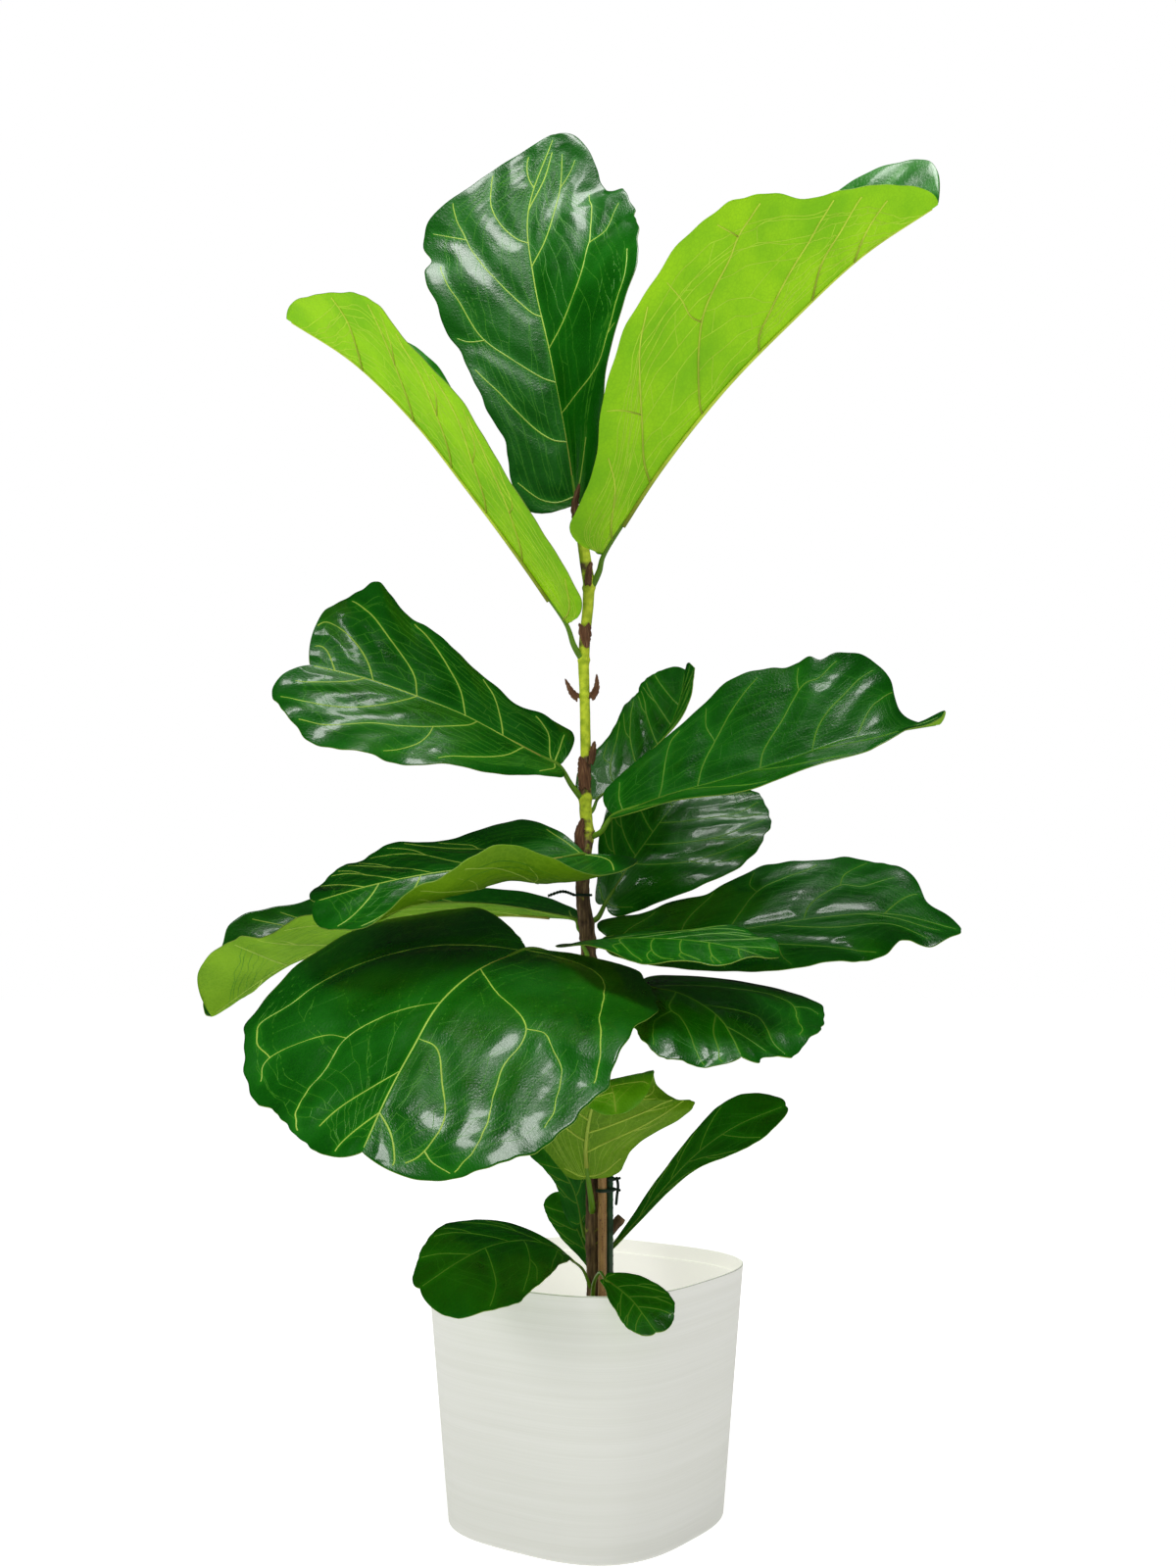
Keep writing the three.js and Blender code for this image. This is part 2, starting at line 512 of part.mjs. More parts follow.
function addPiece(name, geometry, colour, roughness = 0.6, metalness = 0) {
  geometry.computeVertexNormals();
  const material = new THREE.MeshStandardMaterial({ color: colour, roughness, metalness });
  const mesh = new THREE.Mesh(geometry, material);
  mesh.name = name;
  part.add(mesh);
}

// A ring of the pot's plan: a rounded square that is "half" wide across its flats.
function potRing(half, z) {
  return Array.from({ length: POT_SIDES }, (_, k) => {
    const angle = (k / POT_SIDES) * 2 * Math.PI;
    const spread = Math.abs(Math.cos(angle)) ** POT_POWER + Math.abs(Math.sin(angle)) ** POT_POWER;
    const radius = half / spread ** (1 / POT_POWER);
    return new THREE.Vector3(radius * Math.cos(angle + POT_TURN), radius * Math.sin(angle + POT_TURN), z);
  });
}

const outerHalf = (z) => POT_BASE_HALF + ((POT_RIM_HALF - POT_BASE_HALF) * z) / POT_HEIGHT;
const innerHalf = (z) => outerHalf(z) - POT_WALL;

function potGeometry() {
  const bandBottom = POT_HEIGHT - POT_BAND;
  return skinned([
    potRing(POT_BASE_HALF - POT_EDGE, 0),
    potRing(outerHalf(POT_EDGE_STEP) - POT_EDGE_STEP, POT_EDGE_STEP),
    potRing(outerHalf(POT_EDGE), POT_EDGE),
    potRing(outerHalf(POT_HEIGHT / 2), POT_HEIGHT / 2),
    potRing(outerHalf(POT_HEIGHT - POT_LIP_BEVEL), POT_HEIGHT - POT_LIP_BEVEL),
    potRing(POT_RIM_HALF - POT_LIP_BEVEL, POT_HEIGHT),
    potRing(POT_RIM_HALF - POT_LIP, POT_HEIGHT),
    potRing(outerHalf(bandBottom) - POT_LIP, bandBottom),
    potRing(innerHalf(bandBottom - POT_BAND_STEP), bandBottom - POT_BAND_STEP),
    potRing(innerHalf(POT_FLOOR + POT_EDGE), POT_FLOOR + POT_EDGE),
    potRing(innerHalf(POT_FLOOR) - POT_EDGE, POT_FLOOR),
  ]);
}

function soilSolid() {
  const bottom = POT_FLOOR + SOIL_GAP;
  const [perRing, perSide, slow] = SOIL_LUMP_TURNS;
  const surface = SOIL_RINGS.map((share, ring) => (
    potRing((innerHalf(SOIL_LEVEL) - SOIL_GAP) * share, 0).map((point, side) => {
      const lump = SOIL_LUMP * Math.sin(ring * perRing + side * perSide) * Math.cos(side * slow);
      point.z = SOIL_LEVEL + SOIL_MOUND * (1 - share ** 2) + (share < 1 ? lump : 0);
      return point;
    })));
  return solidOf(skinned([
    potRing(innerHalf(bottom) - POT_EDGE - SOIL_GAP, bottom),
    potRing(innerHalf(bottom + POT_EDGE) - SOIL_GAP, bottom + POT_EDGE + SOIL_GAP),
    ...surface,
  ]));
}

// The trunk, with a swelling at each leaf scar; "extra" makes it thicker all over, for cutting holes.
function trunkSolid(extra) {
  const tip = TRUNK[0][2];
  const end = TRUNK[TRUNK.length - 1][2];
  const heights = new Set(even(Math.round((tip - end) / TRUNK_STEP), tip, end));
  for (const z of SCAR_HEIGHTS) {
    for (const shift of [-SCAR_HALF_HEIGHT, 0, SCAR_HALF_HEIGHT]) heights.add(z + shift);
  }
  const sorted = [...heights].filter((z) => z <= tip && z >= end).sort((a, b) => a - b);
  const rings = sorted.map((z) => {
    const lower = Math.max(TRUNK.findIndex((entry) => entry[2] <= z), 1);
    const [high, low] = [TRUNK[lower - 1], TRUNK[lower]];
    const share = (z - low[2]) / (high[2] - low[2]);
    const at = low.map((value, c) => value + (high[c] - value) * share);
    const scar = SCAR_HEIGHTS.includes(z) ? SCAR_SWELL : 0;
    return Array.from({ length: TRUNK_SIDES }, (_, k) => {
      const angle = (k / TRUNK_SIDES) * 2 * Math.PI;
      const radius = at[3] + scar + extra;
      const level = z === end ? z - extra : z;
      return new THREE.Vector3(at[0] + radius * Math.cos(angle), at[1] + radius * Math.sin(angle), level);
    });
  });
  const stub = bar(STUB, (u) => STUB_RADIUS - STUB_TAPER * u + extra, STUB_SIDES, STUB_SHARES);
  return solidOf(skinned(rings)).add(solidOf(stub));
}

// A straight upright rod, swollen a little at its joints; "extra" as for the trunk.
function rodSolid(rod, extra) {
  const swellings = rod.joints.flatMap((z) => [z - CANE_JOINT_HALF_HEIGHT, z, z + CANE_JOINT_HALF_HEIGHT]);
  const levels = [rod.bottom - extra, ...swellings, rod.top + extra];
  const rings = levels.map((z) => Array.from({ length: ROD_SIDES }, (_, k) => {
    const angle = (k / ROD_SIDES) * 2 * Math.PI;
    const radius = rod.radius + extra + (rod.joints.includes(z) ? CANE_JOINT_SWELL : 0);
    return new THREE.Vector3(rod.x + radius * Math.cos(angle), rod.y + radius * Math.sin(angle), z);
  }));
  return solidOf(skinned(rings));
}

// A band drawn tight round upright stems, each given by x, y and radius.
function bandSolid(stems, level) {
  const outline = (offset, z) => Array.from({ length: BAND_SIDES }, (_, k) => {
    const angle = (k / BAND_SIDES) * 2 * Math.PI;
    const [x, y] = [Math.cos(angle), Math.sin(angle)];
    const reach = (stem) => stem.x * x + stem.y * y + stem.radius;
    const stem = stems.reduce((a, b) => (reach(a) > reach(b) ? a : b));
    return new THREE.Vector3(stem.x + (stem.radius + offset) * x, stem.y + (stem.radius + offset) * y, z);
  });
  const [inside, outside] = [BAND_GAP, BAND_GAP + BAND_WALL];
  const [low, high] = [level - BAND_HEIGHT / 2, level + BAND_HEIGHT / 2];
  const corners = [[inside, low], [outside, low], [outside, high], [inside, high]];
  return solidOf(skinned(corners.map(([offset, z]) => outline(offset, z)), true));
}

const trunk = trunkSolid(0);
const trunkHole = trunkSolid(CLEARANCE);
const clipTab = new THREE.BoxGeometry(CLIP_TAB.width, CLIP_TAB.depth, CLIP_TAB.top - CLIP_TAB.bottom)
  .translate(CLIP_TAB.x, CLIP_TAB.y, (CLIP_TAB.top + CLIP_TAB.bottom) / 2);
const twistTie = bandSolid([TWIST_TIE_STEM], TWIST_TIE_LEVEL)
  .add(solidOf(bar(TWIST_TIE_TAIL, () => TWIST_TIE_RADIUS, STALK_SIDES, STALK_SHARES)));

addPiece('pot', potGeometry(), 0xe6e4dc, 0.45);
addPiece('soil', geometryFrom(mainBody(soilSolid()
  .subtract(trunkHole)
  .subtract(rodSolid(CANE, CLEARANCE))
  .subtract(rodSolid(STAKE, CLEARANCE)))), 0x2d2018, 0.95);
addPiece('trunk', geometryFrom(trunk), 0x6b5434, 0.85);
addPiece('bamboo_cane', geometryFrom(rodSolid(CANE, 0)), 0xb08a4e, 0.6);
addPiece('plant_stake', geometryFrom(rodSolid(STAKE, 0)), 0x1f4a2c, 0.5);
addPiece('stake_clip', geometryFrom(bandSolid([CANE, STAKE], CLIP_LEVEL)
  .add(bandSolid([STAKE], CLIP_UPPER_LEVEL))
  .add(solidOf(clipTab))
  .subtract(rodSolid(STAKE, CLEARANCE))
  .subtract(rodSolid(CANE, CLEARANCE))), 0x142a1f, 0.5);
addPiece('twist_tie', geometryFrom(twistTie), 0x163322, 0.5);

for (const sheath of SHEATHS) {
  const blade = solidOf(bladeGeometry(sheath, SHEATH_ROWS, SHEATH_COLUMNS, SHEATH_THICKNESS, 0));
  addPiece(sheath.name, geometryFrom(mainBody(blade.subtract(trunkHole))), 0x5a4030, 0.9);
}

for (const leaf of LEAVES) {
  const rows = leaf.small ? SMALL_ROWS : BIG_ROWS;
  const columns = leaf.small ? SMALL_COLUMNS : BIG_COLUMNS;
  const ribDepth = leaf.small ? SMALL_MIDRIB_DEPTH : MIDRIB_DEPTH;
  const blade = solidOf(bladeGeometry(leaf, rows, columns, BLADE_THICKNESS, ribDepth));
  const line = [...leaf.stalk, leaf.rib[0], along(leaf.rib, STALK_REACH)];
  const stalkRadius = (u) => leaf.stalkRadius * (1 - STALK_TAPER * u);
  const stalk = solidOf(bar(line, stalkRadius, STALK_SIDES, STALK_SHARES));
  addPiece(leaf.name, geometryFrom(mainBody(blade.add(stalk).subtract(trunkHole))), leaf.colour, 0.4);
}

export default part;
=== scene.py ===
# A fiddle leaf fig in a white planter, about 1.3 m tall: the looks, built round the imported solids.
# Lengths are in metres, or in millimetres where a table is scaled by MM.

import math
import bpy
import numpy as np
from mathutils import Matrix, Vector, noise


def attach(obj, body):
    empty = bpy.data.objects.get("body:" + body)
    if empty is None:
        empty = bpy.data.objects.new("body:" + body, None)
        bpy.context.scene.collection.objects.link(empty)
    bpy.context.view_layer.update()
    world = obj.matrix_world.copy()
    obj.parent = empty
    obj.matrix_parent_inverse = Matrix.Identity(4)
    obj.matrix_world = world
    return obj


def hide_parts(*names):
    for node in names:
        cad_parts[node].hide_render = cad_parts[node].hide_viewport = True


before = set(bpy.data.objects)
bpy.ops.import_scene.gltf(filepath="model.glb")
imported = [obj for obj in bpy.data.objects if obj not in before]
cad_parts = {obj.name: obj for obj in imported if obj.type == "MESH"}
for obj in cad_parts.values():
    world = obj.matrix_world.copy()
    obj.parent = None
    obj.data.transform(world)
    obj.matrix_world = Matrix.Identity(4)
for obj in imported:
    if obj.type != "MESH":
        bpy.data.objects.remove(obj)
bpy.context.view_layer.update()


# ---- The studio ----
# A camera at the height of the leaves, looking a little up, as the plant was photographed.
# One soft light hangs above the plant, one stands to its left, and the room is white.

LENS_PIXELS = 1750
IMAGE_HEIGHT = 1600
SENSOR_WIDTH = 36
CAMERA_PITCH = 5
camera_data = bpy.data.cameras.new("camera")
camera_data.sensor_width = SENSOR_WIDTH
camera_data.lens = LENS_PIXELS / IMAGE_HEIGHT * SENSOR_WIDTH
camera = bpy.data.objects.new("camera", camera_data)
camera.location = (0.001, -1.55, 0.508)
camera.rotation_euler = (math.radians(90 + CAMERA_PITCH), 0, 0)
bpy.context.scene.collection.objects.link(camera)
bpy.context.scene.camera = camera
bpy.context.scene.view_settings.view_transform = "Standard"


def soft_light(name, place, target, width, height, watts, mirrored):
    """A rectangular softbox aimed at a point, which the glossy leaves mirror or don't."""
    data = bpy.data.lights.new(name, "AREA")
    data.shape = "RECTANGLE"
    data.size = width
    data.size_y = height
    data.energy = watts
    lamp = bpy.data.objects.new(name, data)
    lamp.location = place
    aim = Vector(target) - Vector(place)
    lamp.rotation_euler = aim.to_track_quat("-Z", "Y").to_euler()
    lamp.visible_glossy = mirrored
    bpy.context.scene.collection.objects.link(lamp)


soft_light("key_softbox", place=(0.15, -0.4, 2.6), target=(0, -0.1, 0.6),
           width=0.75, height=0.8, watts=34, mirrored=True)
soft_light("left_softbox", place=(-2.3, -1.7, 1.7), target=(0, 0, 0.5),
           width=1.0, height=1.2, watts=19, mirrored=False)

world = bpy.data.worlds.new("white_room")
world.use_nodes = True
bpy.context.scene.world = world
room = world.node_tree
room_lighting = room.nodes["Background"]
room_seen = room.nodes.new("ShaderNodeBackground")
room_mirrored = room.nodes.new("ShaderNodeBackground")
for background, strength in ((room_lighting, 0.52), (room_seen, 1.0), (room_mirrored, 0.015)):
    background.inputs["Color"].default_value = (1, 1, 1, 1)
    background.inputs["Strength"].default_value = strength
ray = room.nodes.new("ShaderNodeLightPath")


def for_rays(kind, usual, special):
    """The special background for one kind of ray, and the usual one for the others."""
    choice = room.nodes.new("ShaderNodeMixShader")
    room.links.new(ray.outputs[kind], choice.inputs["Fac"])
    room.links.new(usual.outputs[0], choice.inputs[1])
    room.links.new(special.outputs[0], choice.inputs[2])
    return choice


lighting = for_rays("Is Glossy Ray", room_lighting, room_mirrored)
whole_room = for_rays("Is Camera Ray", lighting, room_seen)
room.links.new(whole_room.outputs[0], room.nodes["World Output"].inputs["Surface"])


# ---- The floor ----
# A plain pale studio floor of painted board, wide enough to run out of every view. It brightens the
# plant from below, and the glossy leaves don't mirror it.

FLOOR_HALF = 12


def new_finish(name, roughness=0.5, **sockets):
    """A material with its shader's constant values set, and its node tree."""
    material = bpy.data.materials.new(name)
    material.use_nodes = True
    shader = material.node_tree.nodes["Principled BSDF"]
    shader.inputs["Roughness"].default_value = roughness
    for socket, value in sockets.items():
        shader.inputs[socket.replace("_", " ")].default_value = value
    return material, material.node_tree, shader


def new_piece(name, points, faces, finishes, face_finish=None):
    """A mesh object at the origin, with smooth faces and the given materials."""
    mesh = bpy.data.meshes.new(name)
    mesh.from_pydata([tuple(p) for p in points], [], [tuple(int(i) for i in f) for f in faces])
    for material in finishes:
        mesh.materials.append(material)
    mesh.polygons.foreach_set("use_smooth", [True] * len(mesh.polygons))
    if face_finish is not None:
        mesh.polygons.foreach_set("material_index", face_finish)
    piece = bpy.data.objects.new(name, mesh)
    bpy.context.scene.collection.objects.link(piece)
    return piece


floor_finish, _, _ = new_finish("pale_floor", 0.8, Base_Color=(0.9, 0.9, 0.9, 1),
                                Emission_Color=(1, 1, 1, 1), Emission_Strength=0.6)
floor_corners = [(x * FLOOR_HALF, y * FLOOR_HALF, 0) for x, y in ((-1, -1), (1, -1), (1, 1), (-1, 1))]
floor = new_piece("floor", floor_corners, [(0, 1, 2, 3)], [floor_finish])
floor.visible_glossy = False


# ---- The pot ----
# A moulded planter with a rounded-square plan and straight tapered walls, in white satin plastic.
# Fine brushed streaks run round it, and a thinner band stands inside its rim.
# Its rim top and inside are cream, and glow with painted light that brightens them where they lie in shade.

MM = 0.001
POT_HEIGHT = 217 * MM
POT_RIM_HALF = 125 * MM
POT_BASE_HALF = 107.5 * MM
POT_POWER = 3
POT_TURN = math.radians(55)
POT_WALL = 3.5 * MM
POT_FLOOR = 5 * MM
POT_EDGE = 4 * MM
POT_LIP = 2.6 * MM
POT_BAND = 12 * MM
BAND_STEP = 0.8 * MM
LIP_OUTER_ROUND = 1 * MM
LIP_INNER_ROUND = 0.5 * MM
POT_SIDES = 240
EDGE_ROWS = 7
OUTER_WALL_ROWS = 14
LIP_OUTER_ROWS = 5
LIP_INNER_ROWS = 4
BAND_ROWS = 4
INNER_WALL_ROWS = 12
WHITE_LIP_ROWS = 3


def pot_ring(half, z, sides=POT_SIDES):
    """One ring of points of the pot's plan, that far from its middle to its flats, at a height."""
    angle = np.linspace(0, 2 * np.pi, sides, endpoint=False)
    spread = np.abs(np.cos(angle)) ** POT_POWER + np.abs(np.sin(angle)) ** POT_POWER
    radius = half / spread ** (1 / POT_POWER)
    turned = angle + POT_TURN
    return np.stack([radius * np.cos(turned), radius * np.sin(turned), np.full(sides, z)], 1)


def pot_half(z):
    """How far the outer wall is from the pot's middle, across its flats, at a height."""
    return POT_BASE_HALF + (POT_RIM_HALF - POT_BASE_HALF) * z / POT_HEIGHT


def skin(rings, looped=False):
    """Points and faces of a form through rings of equal count, closed by a flat face at each end."""
    count = len(rings[0])
    faces = []
    for i in range(len(rings) - (0 if looped else 1)):
        here = i * count
        above = ((i + 1) % len(rings)) * count
        for j in range(count):
            k = (j + 1) % count
            faces.append((here + j, here + k, above + k, above + j))
    if not looped:
        faces.append(tuple(range(count - 1, -1, -1)))
        top = (len(rings) - 1) * count
        faces.append(tuple(range(top, top + count)))
    return np.concatenate(rings), faces


def quarter(count, start, stop):
    """Sines and cosines of evenly spaced angles, for a rounded edge."""
    angle = np.radians(np.linspace(start, stop, count))
    return zip(np.sin(angle), np.cos(angle))


band_top = POT_HEIGHT - 2 * MM
band_bottom = POT_HEIGHT - POT_BAND
pot_rings = [pot_ring(pot_half(POT_EDGE) - POT_EDGE * (1 - s), POT_EDGE * (1 - c))
             for s, c in quarter(EDGE_ROWS, 0, 90)]
pot_rings += [pot_ring(pot_half(z), z)
              for z in np.linspace(POT_EDGE, POT_HEIGHT - LIP_OUTER_ROUND, OUTER_WALL_ROWS)[1:]]
# The rings from here on, the rim's top and the inside, get the cream finish that glows with painted light.
first_painted_glow_ring = len(pot_rings) + WHITE_LIP_ROWS
pot_rings += [pot_ring(POT_RIM_HALF - LIP_OUTER_ROUND * (1 - c), POT_HEIGHT - LIP_OUTER_ROUND * (1 - s))
              for s, c in quarter(LIP_OUTER_ROWS, 10, 90)]
pot_rings += [pot_ring(POT_RIM_HALF - POT_LIP + LIP_INNER_ROUND * (1 - s),
                       POT_HEIGHT - LIP_INNER_ROUND * (1 - c)) for s, c in quarter(LIP_INNER_ROWS, 0, 90)]
pot_rings += [pot_ring(pot_half(z) - POT_LIP, z) for z in np.linspace(band_top, band_bottom, BAND_ROWS)]
pot_rings += [pot_ring(pot_half(z) - POT_WALL, z)
              for z in np.linspace(band_bottom - BAND_STEP, POT_FLOOR + POT_EDGE, INNER_WALL_ROWS)]
pot_rings += [pot_ring(pot_half(POT_FLOOR) - POT_WALL - POT_EDGE, POT_FLOOR)]
pot_points, pot_faces = skin(pot_rings)


def add_node(tree, kind, joined=(), **settings):
    """A node with its settings and input values set; "joined" is (input, output socket) pairs."""
    made = tree.nodes.new(kind)
    for key, value in settings.items():
        if hasattr(made, key) and key not in made.inputs:
            setattr(made, key, value)
        else:
            made.inputs[key].default_value = value
    for place, source in joined:
        tree.links.new(source, made.inputs[place])
    return made


def stretched(tree, place, scale):
    """Coordinates scaled along their three axes."""
    return add_node(tree, "ShaderNodeMapping", [("Vector", place)], Scale=scale).outputs["Vector"]


def cloudy(tree, place, scale, detail=2.0):
    """Soft random clouds over the given coordinates, as a value from 0 to 1."""
    clouds = add_node(tree, "ShaderNodeTexNoise", [("Vector", place)], Scale=scale, Detail=detail)
    return clouds.outputs["Fac"]


def ramp(tree, source, *stops):
    """A colour ramp over (position, colour) stops."""
    made = tree.nodes.new("ShaderNodeValToRGB")
    while len(made.color_ramp.elements) < len(stops):
        made.color_ramp.elements.new(0.5)
    for element, (place, colour) in zip(made.color_ramp.elements, stops):
        element.position = place
        element.color = (*colour, 1)
    tree.links.new(source, made.inputs["Fac"])
    return made.outputs["Color"]


def blend(tree, amount, first, second, mode="MIX"):
    """A mix of two colours, each a socket or a plain colour; so is the amount."""
    made = tree.nodes.new("ShaderNodeMix")
    made.data_type = "RGBA"
    made.blend_type = mode
    for place, value in ((0, amount), (6, first), (7, second)):
        if isinstance(value, bpy.types.NodeSocket):
            tree.links.new(value, made.inputs[place])
        elif place == 0:
            made.inputs[0].default_value = value
        else:
            made.inputs[place].default_value = (*value, 1)
    return made.outputs[2]


def paint(tree, shader, colour):
    """The colour socket joined to the shader's base colour."""
    tree.links.new(colour, shader.inputs["Base Color"])


def bump(tree, shader, height, depth, strength=1.0):
    """Relief in metres from a height socket."""
    made = add_node(tree, "ShaderNodeBump", [("Height", height)], Distance=depth, Strength=strength)
    tree.links.new(made.outputs["Normal"], shader.inputs["Normal"])


pot_finish, pot_tree, pot_shader = new_finish("white_satin_plastic", 0.5, Specular_IOR_Level=0.0)
around = add_node(pot_tree, "ShaderNodeUVMap", uv_map="round_and_up").outputs["UV"]
streaks = cloudy(pot_tree, stretched(pot_tree, around, (6, 900, 1)), 1.0, 5.0)
broad_streaks = cloudy(pot_tree, stretched(pot_tree, around, (2.5, 120, 1)), 1.0, 3.0)
streaked = ramp(pot_tree, streaks, (0.3, (0.655, 0.655, 0.61)), (0.7, (0.70, 0.70, 0.66)))
broad_streaked = ramp(pot_tree, broad_streaks, (0.35, (0.64, 0.64, 0.595)), (0.65, (0.72, 0.72, 0.69)))
paint(pot_tree, pot_shader, blend(pot_tree, 0.35, streaked, broad_streaked))
bump(pot_tree, pot_shader, streaks, 0.06 * MM)
# The cream inside also glows: painted light, which brightens the rim top and the inside where the leaves and
# the walls shade them.
inside_finish_with_painted_glow, _, _ = new_finish(
    "cream_inside", 0.6, Specular_IOR_Level=0.0, Base_Color=(0.86, 0.84, 0.79, 1),
    Emission_Color=(1.0, 0.975, 0.93, 1), Emission_Strength=0.5)

# The walls' faces come row by row from the foot, and then the underside and the pot's inner floor.
# From the first glowing ring on, the faces take the cream finish with its painted glow.
face_sides = [1 if face[0] >= first_painted_glow_ring * POT_SIDES else 0 for face in pot_faces[:-2]] + [0, 1]
pot = new_piece("planter", pot_points, pot_faces, [pot_finish, inside_finish_with_painted_glow], face_sides)
pot_uv = pot.data.uv_layers.new(name="round_and_up")
loop_points = np.zeros(len(pot.data.loops), int)
pot.data.loops.foreach_get("vertex_index", loop_points)
side_of = loop_points % POT_SIDES
side_length = 2 * math.pi * POT_RIM_HALF / POT_SIDES
wrapped = np.stack([side_of * side_length, pot_points[loop_points, 2]], 1)
for face in pot.data.polygons:
    loops = list(face.loop_indices)
    if len(loops) == 4 and np.ptp(side_of[loops]) > 1:
        for loop in loops:
            if side_of[loop] == 0:
                wrapped[loop, 0] = POT_SIDES * side_length
pot_uv.data.foreach_set("uv", wrapped.ravel())
pot.data.set_sharp_from_angle(angle=math.radians(40))
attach(pot, "root")
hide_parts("pot")


# ---- The soil ----
# Dark potting mix, a little mounded towards the trunk, with crumbs of bark and peat lying on it.
# It fills the pot to below the rim.

SOIL_LEVEL = 148 * MM
SOIL_MOUND = 11 * MM
SOIL_GAP = 0.4 * MM
SOIL_SIDES = 160
SOIL_RINGS = 46


def object_place(tree):
    """Coordinates that stay with the piece."""
    return add_node(tree, "ShaderNodeTexCoord").outputs["Object"]


soil_finish, soil_tree, soil_shader = new_finish("potting_mix", 0.95, Specular_IOR_Level=0.2)
grit = cloudy(soil_tree, object_place(soil_tree), 420, 6.0)
soil_colour = ramp(soil_tree, grit, (0.3, (0.008, 0.005, 0.003)), (0.55, (0.035, 0.02, 0.011)),
                   (0.8, (0.11, 0.07, 0.04)))
paint(soil_tree, soil_shader, soil_colour)
bump(soil_tree, soil_shader, grit, 2 * MM)


def soil_surface(share):
    """One ring of the soil's top at that share of the way from the middle to the wall."""
    points = pot_ring((pot_half(SOIL_LEVEL) - POT_WALL - SOIL_GAP) * share, SOIL_LEVEL, SOIL_SIDES)
    if share < 1:
        for p in points:
            heap = 3.0 * noise.noise(Vector((p[0], p[1], 0)) * 45)
            clod = 1.6 * noise.noise(Vector((p[0], p[1], 5)) * 160)
            p[2] += SOIL_MOUND * (1 - share ** 2) + (heap + clod) * MM
    return points


soil_bottom = POT_FLOOR + SOIL_GAP
soil_side = soil_bottom + POT_EDGE
soil_rings = [pot_ring(pot_half(soil_bottom) - POT_WALL - POT_EDGE - SOIL_GAP, soil_bottom, SOIL_SIDES),
              pot_ring(pot_half(soil_side) - POT_WALL - SOIL_GAP, soil_side, SOIL_SIDES)]
soil_rings += [soil_surface(share) for share in np.linspace(1, 0.02, SOIL_RINGS)]
soil = new_piece("potting_soil", *skin(soil_rings), [soil_finish])

crumb_finish, crumb_tree, crumb_shader = new_finish("bark_crumbs", 0.9, Specular_IOR_Level=0.2)
crumb_tone = cloudy(crumb_tree, object_place(crumb_tree), 130)
crumb_colour = ramp(crumb_tree, crumb_tone, (0.35, (0.015, 0.009, 0.005)), (0.6, (0.09, 0.05, 0.025)),
                    (0.75, (0.28, 0.2, 0.12)))
paint(crumb_tree, crumb_shader, crumb_colour)


def new_node_tree(name, **inputs):
    """A geometry node tree with the given inputs beside its geometry, and its group input node."""
    tree = bpy.data.node_groups.new(name, "GeometryNodeTree")
    tree.interface.new_socket("Geometry", in_out="INPUT", socket_type="NodeSocketGeometry")
    for label, kind in inputs.items():
        tree.interface.new_socket(label.replace("_", " "), in_out="INPUT", socket_type="NodeSocket" + kind)
    tree.interface.new_socket("Geometry", in_out="OUTPUT", socket_type="NodeSocketGeometry")
    return tree, add_node(tree, "NodeGroupInput")


crumbs_tree, given = new_node_tree("crumbs_on_soil", Crumbs_per_square_metre="Float", Crumb_size="Float")
facing = add_node(crumbs_tree, "GeometryNodeInputNormal")
upward = add_node(crumbs_tree, "ShaderNodeSeparateXYZ", [("Vector", facing.outputs[0])])
is_top = add_node(crumbs_tree, "FunctionNodeCompare", [(0, upward.outputs["Z"])],
                  operation="GREATER_THAN", B=0.4)
scatter = add_node(crumbs_tree, "GeometryNodeDistributePointsOnFaces",
                   [("Mesh", given.outputs["Geometry"]), ("Selection", is_top.outputs[0]),
                    ("Density", given.outputs["Crumbs per square metre"])], Seed=4)
lump = add_node(crumbs_tree, "GeometryNodeMeshIcoSphere", [("Radius", given.outputs["Crumb size"])],
                Subdivisions=1)
turn = add_node(crumbs_tree, "FunctionNodeRandomValue", data_type="FLOAT_VECTOR", Seed=1)
turn.inputs["Max"].default_value = (6.28, 6.28, 6.28)
stretch = add_node(crumbs_tree, "FunctionNodeRandomValue", data_type="FLOAT_VECTOR", Seed=2)
stretch.inputs["Min"].default_value = (0.3, 0.3, 0.25)
stretch.inputs["Max"].default_value = (1.5, 0.9, 0.6)
strewn = add_node(crumbs_tree, "GeometryNodeInstanceOnPoints",
                  [("Points", scatter.outputs["Points"]), ("Instance", lump.outputs["Mesh"]),
                   ("Rotation", turn.outputs[0]), ("Scale", stretch.outputs[0])])
real_crumbs = add_node(crumbs_tree, "GeometryNodeRealizeInstances", [("Geometry", strewn.outputs[0])])
painted_crumbs = add_node(crumbs_tree, "GeometryNodeSetMaterial",
                          [("Geometry", real_crumbs.outputs[0])], Material=crumb_finish)
add_node(crumbs_tree, "NodeGroupOutput", [(0, painted_crumbs.outputs[0])])


def grown_by(tree, source, name, **values):
    """The plain mesh that a node tree makes from an object, as an object of its own."""
    modifier = source.modifiers.new(tree.name, "NODES")
    modifier.node_group = tree
    for item in tree.interface.items_tree:
        label = item.name.replace(" ", "_")
        if item.in_out == "INPUT" and label in values:
            modifier[item.identifier] = values[label]
    evaluated = source.evaluated_get(bpy.context.evaluated_depsgraph_get())
    mesh = bpy.data.meshes.new_from_object(evaluated)
    source.modifiers.remove(modifier)
    made = bpy.data.objects.new(name, mesh)
    bpy.context.scene.collection.objects.link(made)
    return made


crumbs = grown_by(crumbs_tree, soil, "soil_crumbs", Crumbs_per_square_metre=42000.0, Crumb_size=2.4 * MM)
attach(soil, "root")
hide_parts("soil")
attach(crumbs, "root")


# ---- The trunk ----
# One slim stem: brown, cracked bark below and smooth lime green growth above, with a swollen ring where
# each leaf is or was. A short stub of a pruned branch stands near its foot.

